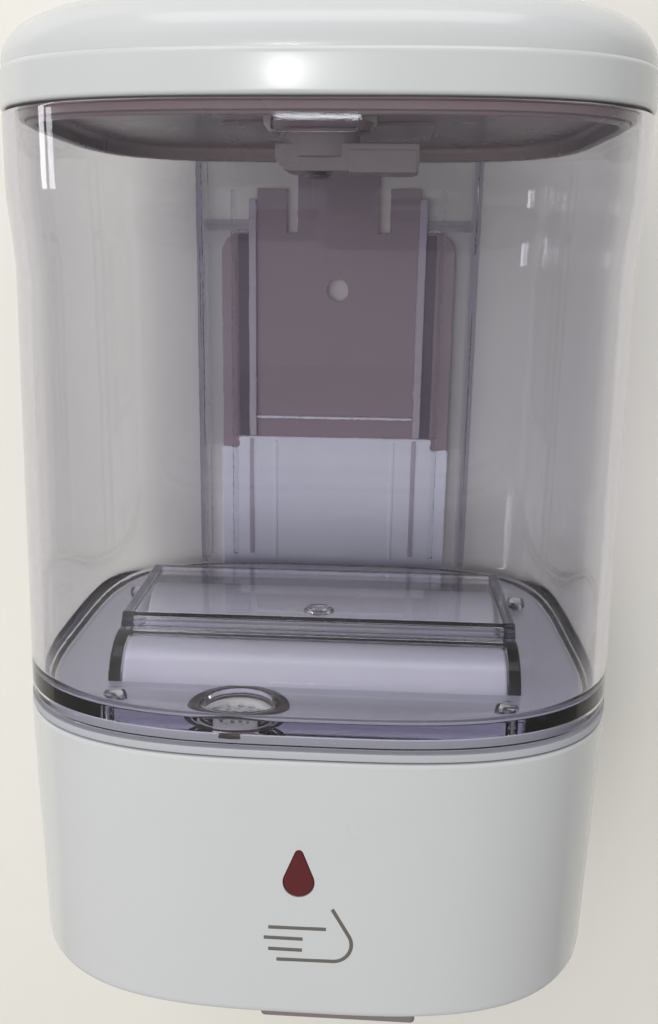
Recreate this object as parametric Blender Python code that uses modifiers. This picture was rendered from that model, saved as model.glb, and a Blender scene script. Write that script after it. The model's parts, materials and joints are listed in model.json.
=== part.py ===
"""Wall-hung automatic soap dispenser, built piece by piece.

Heights are written from the base's lower edge and depths from the wall, front towards -Y.
The whole model hangs on an empty, so that the world origin is the middle of the wall face.
"""
import math

import bmesh
import bpy
from mathutils import Matrix, Vector

MM = 0.001

# Fits
GAP = 0.3 * MM
OVERRUN = 1.0 * MM
MERGE = 0.00001

# Facets of outlines and round pieces
OUTLINE_POINTS = 48
CROWN_RINGS = 6
ROUND_SEGMENTS = 24
FINE_SEGMENTS = 12

# Battery row and motor: they set the sizes of the case, the cradle and the two humps over them
CELL_COUNT = 4
CELL_RADIUS = 7.25 * MM
CELL_SPACING = 1.7 * MM
CELL_PITCH = 2 * CELL_RADIUS + CELL_SPACING
CASE_WALL = 1.5 * MM
CASE_CLEARANCE = 0.35 * MM
CASE_HALF_DEPTH = CELL_RADIUS + CASE_CLEARANCE + CASE_WALL
CASE_HALF_WIDTH = (CELL_COUNT - 1) / 2 * CELL_PITCH + CASE_HALF_DEPTH
CASE_FLANGE_SIDE = 5.1 * MM
CASE_FLANGE_HALF_WIDTH = CASE_HALF_WIDTH + CASE_FLANGE_SIDE
CASE_FLANGE_FRONT = 3.9 * MM
CASE_FLANGE_HALF_DEPTH = CASE_HALF_DEPTH + CASE_FLANGE_FRONT
MOTOR_RADIUS = 10.0 * MM
CRADLE_SIDE = 1.8 * MM
CRADLE_HALF_DEPTH = MOTOR_RADIUS + CRADLE_SIDE
CRADLE_GAP = 0.7 * MM
HUMP_END_ROOM = 7.8 * MM
HUMP_HALF_LENGTH = CASE_HALF_WIDTH + HUMP_END_ROOM
HUMP_SIDE_ROOM = 4.3 * MM
REAR_HUMP_RADIUS = CASE_HALF_DEPTH + HUMP_SIDE_ROOM
FRONT_HUMP_RADIUS = 8.7 * MM

# Heights, counted up from the base's lower edge through the battery row to the lid
BOTTOM_LOW = 2.3 * MM
BOTTOM_THICKNESS = 2.0 * MM
BOTTOM_TOP = BOTTOM_LOW + BOTTOM_THICKNESS
CASE_LOW = BOTTOM_TOP + GAP
CELL_LENGTH = 50.5 * MM
CELL_END_ROOM = 5.6 * MM
CASE_ROOF_LOW = CASE_LOW + CELL_LENGTH + CELL_END_ROOM
CASE_ROOF_THICKNESS = 1.4 * MM
CASE_ROOF_TOP = CASE_ROOF_LOW + CASE_ROOF_THICKNESS
ROOF_OVER_SEAM = 6.8 * MM
SEAM_HEIGHT = CASE_ROOF_LOW - ROOF_OVER_SEAM
TANK_RISE = 120.3 * MM
TOP_HEIGHT = SEAM_HEIGHT + TANK_RISE
LID_RIM_HEIGHT = 7.8 * MM
CREASE_HEIGHT = TOP_HEIGHT + LID_RIM_HEIGHT
LID_RISE = 14.0 * MM

# Depths from the wall, counted up from the battery row to the front
BACK_DEPTH = 5.2 * MM
REAR_HUMP_DEPTH = 67.0 * MM
HUMP_PITCH = CASE_FLANGE_HALF_DEPTH + CRADLE_GAP + CRADLE_HALF_DEPTH
FRONT_HUMP_DEPTH = REAR_HUMP_DEPTH + HUMP_PITCH
OUTLET_LEAD = 19.0 * MM
OUTLET_DEPTH = FRONT_HUMP_DEPTH + OUTLET_LEAD
OUTLET_TO_FRONT = 14.5 * MM
SEAM_DEPTH = OUTLET_DEPTH + OUTLET_TO_FRONT
BASE_SWELL = 5.0 * MM
BASE_DEPTH = SEAM_DEPTH + BASE_SWELL
TANK_RAKE = 6.0 * MM
TOP_DEPTH = SEAM_DEPTH - TANK_RAKE
WIDEST_LEAD = 2.6 * MM
WIDEST_DEPTH = REAR_HUMP_DEPTH + WIDEST_LEAD

# Half widths of the body, counted up from the humps to the sides
STEP_WALL = 2.2 * MM
STEP_END_GAP = 0.4 * MM
STEP_HALF_WIDTH = HUMP_HALF_LENGTH + STEP_END_GAP + STEP_WALL
FLOOR_BORDER = 21.0 * MM
SEAM_HALF_WIDTH = STEP_HALF_WIDTH + FLOOR_BORDER
BASE_TAPER = 2.0 * MM
BASE_HALF_WIDTH = SEAM_HALF_WIDTH - BASE_TAPER
TOP_SPREAD = 0.2 * MM
TOP_HALF_WIDTH = SEAM_HALF_WIDTH + TOP_SPREAD
FRONT_POWER_SHARE = 3.2
REAR_POWER_SHARE = 3.7

# Wall plate
TONGUE_HALF_WIDTH = 11.3 * MM
SLOT_WIDTH = 3.0 * MM
SHOULDER_WIDTH = 8.5 * MM
SHOULDER_HALF_WIDTH = TONGUE_HALF_WIDTH + SLOT_WIDTH + SHOULDER_WIDTH
PLATE_SHELF = 10.2 * MM
PLATE_HALF_WIDTH = SHOULDER_HALF_WIDTH + PLATE_SHELF
PLATE_TOP_DROP = 20.7 * MM
PLATE_TOP = TOP_HEIGHT - PLATE_TOP_DROP
PLATE_HEIGHT = 68.0 * MM
PLATE_LOW = PLATE_TOP - PLATE_HEIGHT
WALL_FACE_HEIGHT = (PLATE_LOW + PLATE_TOP) / 2
PLATE_CORNER = 6.0 * MM
PAD_INSET = 2.8 * MM
PAD_HALF_WIDTH = SHOULDER_HALF_WIDTH - PAD_INSET
PAD_THICKNESS = 1.8 * MM
PLATE_DEPTH = 3.4 * MM
TONGUE_RISE = 15.5 * MM
TONGUE_TOP = PLATE_TOP + TONGUE_RISE
SHOULDER_RISE = 11.7 * MM
SHOULDER_TOP = PLATE_TOP + SHOULDER_RISE
PLATE_HOLE_RADIUS = 3.05 * MM
PLATE_HOLE_DROP = 15.4 * MM
PLATE_HOLE_HEIGHT = PLATE_TOP - PLATE_HOLE_DROP

# White cover on the back of the base
COVER_THICKNESS = 1.2 * MM
COVER_LOW = 9.5 * MM
COVER_SIDE_OVERLAP = 7.9 * MM
COVER_SIDE_TOP = PLATE_LOW + COVER_SIDE_OVERLAP
COVER_STEP_RISE = 3.0 * MM
COVER_TOP = COVER_SIDE_TOP + COVER_STEP_RISE
COVER_STEP_INSET = 5.0 * MM
COVER_STEP_HALF_WIDTH = PLATE_HALF_WIDTH - COVER_STEP_INSET

# Tank
SEAM_STRIP = 2.0 * MM
TANK_LOW = SEAM_HEIGHT + SEAM_STRIP
TANK_TOP = TOP_HEIGHT - GAP
TANK_WALL = 2.4 * MM
TANK_EDGE_INSET = 0.9 * MM
TANK_EDGE_HEIGHT = 1.2 * MM
TANK_FOOT_INSET = 0.3 * MM
TANK_WAIST_INSET = 1.3 * MM
TANK_FLARE_INSET = 0.1 * MM
TANK_WAIST_DROP = 26.7 * MM
TANK_WAIST_HEIGHT = TOP_HEIGHT - TANK_WAIST_DROP
TANK_FLARE_DROP = 12.7 * MM
TANK_FLARE_HEIGHT = TOP_HEIGHT - TANK_FLARE_DROP
TANK_SKIRT_WALL = 3.0 * MM
FLOOR_RISE = 1.9 * MM
FLOOR_UNDERSIDE = TANK_LOW + FLOOR_RISE
FLOOR_THICKNESS = 2.0 * MM
FLOOR_TOP = FLOOR_UNDERSIDE + FLOOR_THICKNESS
FLOOR_FILLET = 2.6 * MM
FLOOR_FILLET_HEIGHT = 3.0 * MM
RIB_PLATE_GAP = 5.2 * MM
RIB_X = PLATE_HALF_WIDTH + RIB_PLATE_GAP
RIB_THICKNESS = 2.3 * MM
RIB_STANDOFF = 0.5 * MM
RIB_ROOT_DEPTH = 9.0 * MM
RIB_TOP_DROP = 1.7 * MM
RIB_TOP = TOP_HEIGHT - RIB_TOP_DROP
LIP_OVERLAP = 4.7 * MM
LIP_INNER_X = PLATE_HALF_WIDTH - LIP_OVERLAP
LIP_SETBACK = 0.15 * MM
LIP_THICKNESS = 1.0 * MM
HOOK_SHOULDER_GAP = 0.6 * MM
HOOK_INNER_X = SHOULDER_HALF_WIDTH + HOOK_SHOULDER_GAP
HOOK_HEIGHT = 3.0 * MM
HOOK_ROOT_DEPTH = 6.6 * MM
KEEPER_HALF_WIDTH = 7.5 * MM
KEEPER_DROP = 5.4 * MM
KEEPER_LOW = TOP_HEIGHT - KEEPER_DROP
KEEPER_THICKNESS = 2.2 * MM
KEEPER_REACH = 4.6 * MM

# Raised steps of the clear floor and the two white humps below them
FRONT_HUMP_SINK = 1.0 * MM
FRONT_HUMP_CENTRE = FLOOR_UNDERSIDE - FRONT_HUMP_SINK
REAR_HUMP_SINK = 2.3 * MM
REAR_HUMP_CENTRE = FLOOR_UNDERSIDE - REAR_HUMP_SINK
HUMP_WALL = 1.5 * MM
STEP_RISER_SETBACK = 1.9 * MM
STEP_RISER_DEPTH = FRONT_HUMP_DEPTH - STEP_RISER_SETBACK
STEP_EDGE_RADIUS = 4.0 * MM

# Outlet of the tank
OUTLET_X = -14.5 * MM
OUTLET_BORE = 7.15 * MM
SPIGOT_RADIUS = 8.5 * MM
SPIGOT_DROP = 3.9 * MM
SPIGOT_LOW = TANK_LOW - SPIGOT_DROP
SEAL_RADIUS = 10.2 * MM
SEAL_HEIGHT = 1.5 * MM
SEAL_SEAT_HEIGHT = TANK_LOW - GAP
DECK_CUP_RADIUS = 10.7 * MM
FILTER_THICKNESS = 0.8 * MM
FILTER_RISE = 0.2 * MM
FILTER_LOW = TANK_LOW + FILTER_RISE

# Screws that hold the tank to the deck
REAR_SCREW_OUTSET = 6.7 * MM
REAR_SCREW_SETBACK = 22.5 * MM
FRONT_SCREW_INSET = 4.3 * MM
FRONT_SCREW_LEAD = 1.7 * MM
TANK_SCREW_PLACES = (
    (STEP_HALF_WIDTH + REAR_SCREW_OUTSET, REAR_HUMP_DEPTH - REAR_SCREW_SETBACK),
    (STEP_HALF_WIDTH - FRONT_SCREW_INSET, OUTLET_DEPTH + FRONT_SCREW_LEAD),
)
DOME_RADIUS = 2.4 * MM
DOME_RISE = 2.5 * MM
DOME_TOP = FLOOR_TOP + DOME_RISE
TANK_SCREW_RADIUS = 0.9 * MM
TANK_SCREW_HEAD = 2.2 * MM
TANK_SCREW_HEAD_HEIGHT = 1.4 * MM
TANK_SCREW_RISE = 0.9 * MM
TANK_SCREW_END = FLOOR_TOP + TANK_SCREW_RISE

# Deck
DECK_RIM_TOP = TANK_LOW - GAP
DECK_TOP = FLOOR_UNDERSIDE - GAP
DECK_THICKNESS = 2.0 * MM
DECK_UNDERSIDE = DECK_TOP - DECK_THICKNESS
DECK_RIM_INSET = 0.2 * MM
DECK_RIB_DROP = 4.0 * MM
DECK_RIB_LOW = DECK_UNDERSIDE - DECK_RIB_DROP
DECK_RIB_WALL = 1.4 * MM

# Base shell and bottom
SHELL_TOP = SEAM_HEIGHT - GAP
SHELL_WALL = 2.4 * MM
SHELL_EDGE_INSET = 0.6 * MM
SHELL_EDGE_HEIGHT = 1.0 * MM
GRIP_RADIUS = 11.0 * MM
GRIP_LOW = 13.5 * MM
GRIP_SINK = 0.9 * MM
BOTTOM_GAP = 0.4 * MM
BOSS_SETBACK = 7.0 * MM
BOSS_WALL_GAP = 2.2 * MM
BOSS_DEPTH = REAR_HUMP_DEPTH - BOSS_SETBACK
BOSS_RADIUS = 4.0 * MM
BOSS_X = BASE_HALF_WIDTH - BOSS_RADIUS - BOSS_WALL_GAP
BOSS_TOP = 21.5 * MM
BASE_SCREW_RADIUS = 1.2 * MM
BASE_SCREW_HEAD = 2.7 * MM
BASE_SCREW_END = 15.5 * MM

# Drop-shaped light window
DROP_X = -0.7 * MM
DROP_BELOW_SEAM = 25.1 * MM
DROP_CENTRE = SEAM_HEIGHT - DROP_BELOW_SEAM
DROP_RADIUS = 3.15 * MM
DROP_TIP = 6.3 * MM
DROP_POINTS = 12
LENS_THICKNESS = 2.6 * MM
LENS_SINK = 0.15 * MM

# Lid
CROWN_RUN = 40.0 * MM
CROWN_POWER_SHARE = 2.4
LID_WALL = 2.2 * MM
LID_EDGE_INSET = 0.3 * MM
LID_EDGE_HEIGHT = 0.6 * MM
CREASE_INSET = 0.5 * MM
CREASE_DROP = 0.6 * MM
LID_POST_RADIUS = 3.0 * MM
LID_POST_X = 35.0 * MM
REAR_POST_LEAD = 32.8 * MM
FRONT_POST_SETBACK = 28.0 * MM
LID_POST_PLACES = (
    (LID_POST_X, BACK_DEPTH + REAR_POST_LEAD),
    (LID_POST_X, TOP_DEPTH - FRONT_POST_SETBACK),
)
HINGE_DEPTH = 7.2 * MM
HINGE_RISE = 3.3 * MM
HINGE_HEIGHT = TOP_HEIGHT + HINGE_RISE
HINGE_EAR_X = 22.0 * MM
HINGE_EAR_WIDTH = 4.0 * MM
HINGE_EAR_RADIUS = 1.9 * MM
HINGE_EAR_ROOT = RIB_TOP
HINGE_POST_REAR = 6.2 * MM
HINGE_POST_FRONT = 7.8 * MM
HINGE_LUG_WIDTH = 4.0 * MM
HINGE_LUG_REAR = 5.8 * MM
HINGE_PIN_RADIUS = 0.9 * MM
HINGE_RELIEF = 1.9 * MM
HINGE_RELIEF_HALF_WIDTH = 38.0 * MM
LINER_INSET = 4.4 * MM
LINER_RISE = 0.7 * MM
LINER_LOW = TOP_HEIGHT + LINER_RISE
LINER_THICKNESS = 1.6 * MM
LINER_SKIRT_HEIGHT = 3.5 * MM
LINER_SKIRT_LOW = LINER_LOW - LINER_SKIRT_HEIGHT
LINER_SKIRT_WALL = 1.8 * MM
GASKET_RISE = 0.7 * MM
GASKET_LOW = LINER_SKIRT_LOW + GASKET_RISE
GASKET_HEIGHT = 1.5 * MM
GASKET_INSET = 3.1 * MM

# Lid lock
LOCK_SETBACK = 22.0 * MM
LOCK_DEPTH = TOP_DEPTH - LOCK_SETBACK
LOCK_RADIUS = 5.5 * MM
LOCK_HEAD_RADIUS = 6.5 * MM
LOCK_HEAD_DROP = 3.7 * MM
LOCK_HEAD_LOW = CREASE_HEIGHT + LID_RISE - LOCK_HEAD_DROP
LOCK_HEAD_HEIGHT = 1.0 * MM
LOCK_DROP = 3.8 * MM
LOCK_LOW = TOP_HEIGHT - LOCK_DROP
LOCK_TOWER_RADIUS = 9.0 * MM
LOCK_TOWER_HEIGHT = 3.8 * MM
LOCK_TOWER_LOW = LOCK_HEAD_LOW - LOCK_TOWER_HEIGHT
KEYWAY_LENGTH = 6.0 * MM
KEYWAY_WIDTH = 1.3 * MM
KEYWAY_SINK = 0.7 * MM
LOCK_BOSS_RADIUS = 10.6 * MM
LOCK_BOSS_LOW = LOCK_LOW
CAM_LEFT = 8.0 * MM
CAM_RIGHT = 18.6 * MM
CAM_HALF_DEPTH = 6.0 * MM
CAM_GAP = 2.5 * MM
CAM_TOP = LOCK_LOW - CAM_GAP
CAM_THICKNESS = 4.9 * MM
CAM_LOW = CAM_TOP - CAM_THICKNESS
CAM_HUB_RADIUS = 7.5 * MM
CAM_CORNER = 3.0 * MM
LOCK_SCREW_RADIUS = 1.3 * MM
LOCK_SCREW_HEAD = 2.5 * MM
LOCK_SCREW_HEAD_HEIGHT = 1.5 * MM
LOCK_SCREW_BITE = 3.1 * MM
LOCK_SCREW_END = LOCK_LOW + LOCK_SCREW_BITE

# Battery compartment
CELL_NUB_RADIUS = 2.7 * MM
CELL_NUB_HEIGHT = 1.3 * MM
CASE_FLANGE_THICKNESS = 1.5 * MM
CONTACT_THICKNESS = 0.3 * MM
CONTACT_HALF_DEPTH = 4.7 * MM
SPRING_RADIUS = 3.2 * MM
SPRING_WIRE = 0.35 * MM
SPRING_HEIGHT = 4.2 * MM
SPRING_TURNS = 3
SPRING_POINTS_PER_TURN = 9
DOOR_SIDE = 2.5 * MM
DOOR_HALF_WIDTH = CASE_HALF_WIDTH + DOOR_SIDE
DOOR_FRONT = 2.9 * MM
DOOR_HALF_DEPTH = CASE_HALF_DEPTH + DOOR_FRONT
DOOR_THICKNESS = 1.6 * MM
DOOR_NOTCH_RADIUS = 6.0 * MM
DOOR_NOTCH_SINK = 0.8 * MM

# Pump and motor
DRIVE_DEPTH = FRONT_HUMP_DEPTH
DRIVE_DROP = 7.9 * MM
DRIVE_HEIGHT = SEAM_HEIGHT - DRIVE_DROP
GEAR_TEETH = 12
GEAR_MODULE = 0.7 * MM
GEAR_PRESSURE_ANGLE = math.radians(20)
GEAR_BACKLASH = 0.25 * MM
GEAR_SPREAD = 0.2 * MM
GEAR_FLANK_POINTS = 3
GEAR_LENGTH = 10.6 * MM
CHAMBER_CLEARANCE = 0.4 * MM
PUMP_LEFT = -24.5 * MM
PUMP_END_WALL = 2.5 * MM
PUMP_SIDE_WALL = 2.2 * MM
PUMP_COVER_THICKNESS = 2.5 * MM
SHAFT_RADIUS = 1.0 * MM
PORT_RADIUS = 2.3 * MM
PORT_BORE = 1.4 * MM
PORT_LENGTH = 2.2 * MM
OUTLET_PORT_SETBACK = 3.0 * MM
MOTOR_LEFT = 2.0 * MM
MOTOR_LENGTH = 25.0 * MM
MOTOR_HALF_HEIGHT = 7.5 * MM
MOTOR_CAP_THICKNESS = 2.2 * MM
MOTOR_CAP_RADIUS = 9.0 * MM
SHAFT_INTO_MOTOR = 4.0 * MM
CRADLE_LENGTH = 17.0 * MM
CRADLE_WALL = 4.0 * MM
CRADLE_ROOF = 4.0 * MM
CRADLE_FOOT_INSET = 0.4 * MM
CUP_RADIUS = 8.2 * MM
CUP_WALL = 1.4 * MM
CUP_DROP = 9.5 * MM
CUP_LOW = DRIVE_HEIGHT - CUP_DROP
SLEEVE_RADIUS = 3.8 * MM
TUBE_RADIUS = 3.5 * MM
TUBE_BORE = 2.7 * MM
TUBE_ENGAGE = 2.6 * MM
TUBE_BEND_POINTS = 6

# Nozzle, sensor and boards
HOUSING_LEFT = -11.0 * MM
HOUSING_RIGHT = 25.6 * MM
HOUSING_SETBACK = 7.0 * MM
HOUSING_FRONT = BASE_DEPTH - HOUSING_SETBACK
HOUSING_DEPTH = 24.0 * MM
HOUSING_REAR = HOUSING_FRONT - HOUSING_DEPTH
HOUSING_LOW = -8.0 * MM
HOUSING_WALL = 1.6 * MM
HOUSING_FLANGE = 1.6 * MM
HOUSING_FLANGE_THICKNESS = 1.2 * MM
HOUSING_CORNER = 3.0 * MM
NOZZLE_X = 0.0 * MM
NOZZLE_SETBACK = 11.0 * MM
NOZZLE_DEPTH = HOUSING_FRONT - NOZZLE_SETBACK
NOZZLE_RADIUS = 4.0 * MM
NOZZLE_BORE = 1.4 * MM
NOZZLE_BARB = 2.4 * MM
NOZZLE_TOP = 11.5 * MM
NOZZLE_FLANGE_RADIUS = 5.2 * MM
NOZZLE_FLANGE_THICKNESS = 1.6 * MM
SENSOR_X = 15.5 * MM
SENSOR_HALF_WIDTH = 6.8 * MM
SENSOR_HALF_DEPTH = 4.8 * MM
SENSOR_WINDOW_THICKNESS = 1.2 * MM
SENSOR_BOARD_LOW = -1.0 * MM
BOARD_THICKNESS = 1.6 * MM
SENSOR_BOARD_HALF_WIDTH = 8.2 * MM
SENSOR_BOARD_HALF_DEPTH = 8.0 * MM
EYE_RADIUS = 2.2 * MM
EYE_SPACING = 7.0 * MM
EYE_LENGTH = 4.6 * MM
BOARD_HALF_WIDTH = 20.0 * MM
BOARD_SETBACK = 9.0 * MM
BOARD_DEPTH = SEAM_DEPTH - BOARD_SETBACK
BOARD_LOW = BOTTOM_TOP + HOUSING_FLANGE_THICKNESS + GAP + GAP
BOARD_RISE = 7.2 * MM
BOARD_TOP = DROP_CENTRE + BOARD_RISE
LED_RADIUS = 2.5 * MM
LED_LENGTH = 5.6 * MM

# Power switch on the underside
SWITCH_INSET = 26.8 * MM
SWITCH_X = SWITCH_INSET - BASE_HALF_WIDTH
SWITCH_SETBACK = 20.0 * MM
SWITCH_DEPTH = HOUSING_FRONT - SWITCH_SETBACK
SWITCH_HALF_LENGTH = 8.0 * MM
SWITCH_HALF_WIDTH = 4.4 * MM
SWITCH_HEIGHT = 6.0 * MM
SWITCH_SLOT_HALF = 5.6 * MM
KNOB_HALF_LENGTH = 2.6 * MM
KNOB_HALF_WIDTH = 2.2 * MM
KNOB_LOW = 1.9 * MM
KNOB_TRAVEL = 4.0 * MM
SWITCH_SLOT_DEPTH = 3.2 * MM

# Colour, roughness, metallic and alpha of each finish
FINISHES = {
    "white_shell": ((0.62, 0.64, 0.65), 0.22, 0.0, 1.0),
    "white_inner": ((0.58, 0.59, 0.64), 0.45, 0.0, 1.0),
    "clear_tank": ((0.70, 0.69, 0.72), 0.05, 0.0, 0.3),
    "plum_plate": ((0.12, 0.09, 0.11), 0.30, 0.0, 1.0),
    "taupe_liner": ((0.15, 0.12, 0.12), 0.45, 0.0, 1.0),
    "dark_rubber": ((0.05, 0.035, 0.03), 0.70, 0.0, 1.0),
    "soft_silicone": ((0.70, 0.70, 0.68), 0.50, 0.0, 1.0),
    "grey_plastic": ((0.35, 0.35, 0.36), 0.45, 0.0, 1.0),
    "black_plastic": ((0.03, 0.03, 0.035), 0.35, 0.0, 1.0),
    "red_lens": ((0.11, 0.02, 0.022), 0.12, 0.0, 1.0),
    "sensor_window": ((0.01, 0.005, 0.01), 0.08, 0.0, 1.0),
    "bright_metal": ((0.62, 0.61, 0.59), 0.25, 1.0, 1.0),
    "plated_steel": ((0.55, 0.55, 0.56), 0.35, 1.0, 1.0),
    "gear_plastic": ((0.80, 0.79, 0.74), 0.40, 0.0, 1.0),
    "board_green": ((0.02, 0.12, 0.05), 0.40, 0.0, 1.0),
    "cell_jacket": ((0.04, 0.07, 0.12), 0.30, 0.2, 1.0),
}


def clear_scene():
    for obj in list(bpy.data.objects):
        bpy.data.objects.remove(obj, do_unlink=True)


def collection(name):
    found = bpy.data.collections.get(name) or bpy.data.collections.new(name)
    if name not in bpy.context.scene.collection.children:
        bpy.context.scene.collection.children.link(found)
    return found


clear_scene()
PARTS = collection("automatic_soap_dispenser")
CUTTERS = collection("cutters")
ORIGIN = bpy.data.objects.new("wall_face_origin", None)
ORIGIN.location = (0, 0, -WALL_FACE_HEIGHT)
PARTS.objects.link(ORIGIN)


def finish_material(name):
    found = bpy.data.materials.get(name)
    if found:
        return found
    colour, roughness, metallic, alpha = FINISHES[name]
    material = bpy.data.materials.new(name)
    material.use_nodes = True
    shader = material.node_tree.nodes["Principled BSDF"]
    shader.inputs["Base Color"].default_value = (*colour, 1.0)
    shader.inputs["Roughness"].default_value = roughness
    shader.inputs["Metallic"].default_value = metallic
    shader.inputs["Alpha"].default_value = alpha
    return material


def add_object(name, mesh):
    """Link a mesh as an object that hangs on the origin empty."""
    obj = bpy.data.objects.new(name, mesh)
    PARTS.objects.link(obj)
    obj.parent = ORIGIN
    return obj


def from_bmesh(name, shape):
    mesh = bpy.data.meshes.new(name)
    bmesh.ops.recalc_face_normals(shape, faces=shape.faces)
    shape.to_mesh(mesh)
    shape.free()
    return add_object(name, mesh)


def painted(obj, finish, smooth_angle=math.radians(35)):
    """Give a finished sub-part its own copy of a finish and smooth its round faces."""
    material = finish_material(finish).copy()
    material.name = obj.name
    obj.data.materials.append(material)
    obj.data.shade_smooth()
    obj.data.set_sharp_from_angle(angle=smooth_angle)
    return obj


def turn_about(obj, point):
    """Move an object's origin to a point, so that it turns or slides from there."""
    obj.data.transform(Matrix.Translation(-Vector(point)))
    obj.location = point
    return obj


def cut(target, tool, operation="DIFFERENCE"):
    """Boolean a helper solid into a sub-part; the helper moves to the cutters."""
    modifier = target.modifiers.new(tool.name, "BOOLEAN")
    modifier.object = tool
    modifier.operation = operation
    modifier.solver = "EXACT"
    tool.hide_render = True
    tool.display_type = "WIRE"
    PARTS.objects.unlink(tool)
    CUTTERS.objects.link(tool)


def join(target, tool):
    cut(target, tool, "UNION")


def box(name, low, high):
    """Box between two corners."""
    shape = bmesh.new()
    size = [high[axis] - low[axis] for axis in range(3)]
    middle = [(high[axis] + low[axis]) / 2 for axis in range(3)]
    place = Matrix.Translation(middle) @ Matrix.Diagonal((*size, 1.0))
    bmesh.ops.create_cube(shape, size=1.0, matrix=place)
    return from_bmesh(name, shape)


def centred_box(name, x, half_x, depth, half_depth, low, high):
    """Box round a place on the plan, between two heights."""
    return box(name, (x - half_x, -depth - half_depth, low), (x + half_x, -depth + half_depth, high))


AXIS_TURNS = {
    "X": Matrix.Rotation(math.radians(90), 4, "Y"),
    "Y": Matrix.Rotation(math.radians(-90), 4, "X"),
    "Z": Matrix.Identity(4),
}


def rod(name, axis, start, length, radius, segments=ROUND_SEGMENTS, end_radius=None):
    """Cylinder or cone from a start point along +X, +Y or +Z."""
    shape = bmesh.new()
    bmesh.ops.create_cone(
        shape,
        cap_ends=True,
        segments=segments,
        radius1=radius,
        radius2=radius if end_radius is None else end_radius,
        depth=length,
        matrix=Matrix.Translation(start) @ AXIS_TURNS[axis] @ Matrix.Translation((0, 0, length / 2)),
    )
    return from_bmesh(name, shape)


def turned(name, profile, place, segments=ROUND_SEGMENTS):
    """Turn an open or closed profile of (radius, height) points about a vertical axis."""
    shape = bmesh.new()
    corners = [shape.verts.new((radius, 0, height)) for radius, height in profile]
    for first, second in zip(corners, corners[1:]):
        shape.edges.new((first, second))
    if profile[0][0] > 0:
        shape.edges.new((corners[-1], corners[0]))
    mesh = bpy.data.meshes.new(name)
    shape.to_mesh(mesh)
    shape.free()
    obj = add_object(name, mesh)
    obj.location = place
    screw = obj.modifiers.new("turn", "SCREW")
    screw.steps = segments
    screw.render_steps = segments
    screw.use_merge_vertices = True
    screw.merge_threshold = MERGE
    return obj


def as_mesh(curve_object):
    """Replace a curve by its welded mesh, so that it can be cut."""
    graph = bpy.context.evaluated_depsgraph_get()
    mesh = bpy.data.meshes.new_from_object(curve_object.evaluated_get(graph))
    name, place = curve_object.name, curve_object.location.copy()
    curve = curve_object.data
    bpy.data.objects.remove(curve_object)
    bpy.data.curves.remove(curve)
    shape = bmesh.new()
    shape.from_mesh(mesh)
    bmesh.ops.remove_doubles(shape, verts=shape.verts, dist=MERGE)
    bmesh.ops.recalc_face_normals(shape, faces=shape.faces)
    shape.to_mesh(mesh)
    shape.free()
    mesh.name = name
    obj = add_object(name, mesh)
    obj.location = place
    return obj


def slab(name, outlines, turn, centre, thickness):
    """Flat outline with optional holes, given a thickness and turned into place."""
    curve = bpy.data.curves.new(name, "CURVE")
    curve.dimensions = "2D"
    curve.fill_mode = "BOTH"
    curve.extrude = thickness / 2
    for outline in outlines:
        spline = curve.splines.new("POLY")
        spline.points.add(len(outline) - 1)
        spline.use_cyclic_u = True
        for point, (across, along) in zip(spline.points, outline):
            point.co = (across, along, 0, 1)
    obj = as_mesh(add_object(name, curve))
    obj.data.transform(Matrix.Translation(centre) @ turn)
    return obj


UPRIGHT = Matrix.Rotation(math.radians(90), 4, "X")
ALONG_X = Matrix.Rotation(math.radians(90), 4, "Z") @ Matrix.Rotation(math.radians(90), 4, "X")
FLAT = Matrix.Identity(4)


def tube(name, points, radius):
    """Round tube with filled ends along a list of points."""
    curve = bpy.data.curves.new(name, "CURVE")
    curve.dimensions = "3D"
    curve.bevel_depth = radius
    curve.bevel_resolution = 2
    curve.use_fill_caps = True
    spline = curve.splines.new("POLY")
    spline.points.add(len(points) - 1)
    for point, place in zip(spline.points, points):
        point.co = (*place, 1)
    return as_mesh(add_object(name, curve))


def arc(centre, radius, start, end, count):
    """Points on an arc, angles in degrees."""
    angles = [math.radians(start + (end - start) * step / (count - 1)) for step in range(count)]
    return [(centre[0] + radius * math.cos(a), centre[1] + radius * math.sin(a)) for a in angles]


def body_size(height):
    """Half width and depth of the body's outline at a height."""
    if height <= SEAM_HEIGHT:
        share = height / SEAM_HEIGHT
        low, high = (BASE_HALF_WIDTH, BASE_DEPTH), (SEAM_HALF_WIDTH, SEAM_DEPTH)
    else:
        share = min(1.0, (height - SEAM_HEIGHT) / (TOP_HEIGHT - SEAM_HEIGHT))
        low, high = (SEAM_HALF_WIDTH, SEAM_DEPTH), (TOP_HALF_WIDTH, TOP_DEPTH)
    return low[0] + (high[0] - low[0]) * share, low[1] + (high[1] - low[1]) * share


def outline(height, inset):
    """Plan outline of the body: two half superellipses that meet at the widest line."""
    half_width, depth = body_size(height)
    points = []
    for step in range(OUTLINE_POINTS):
        angle = 2 * math.pi * step / OUTLINE_POINTS
        across, along = math.cos(angle), math.sin(angle)
        power = FRONT_POWER_SHARE if along < 0 else REAR_POWER_SHARE
        reach = depth - WIDEST_DEPTH if along < 0 else WIDEST_DEPTH - BACK_DEPTH
        x = (half_width - inset) * math.copysign(abs(across) ** (2 / power), across)
        y = (reach - inset) * math.copysign(abs(along) ** (2 / power), along)
        points.append((x, y - WIDEST_DEPTH, height))
    return points


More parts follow.
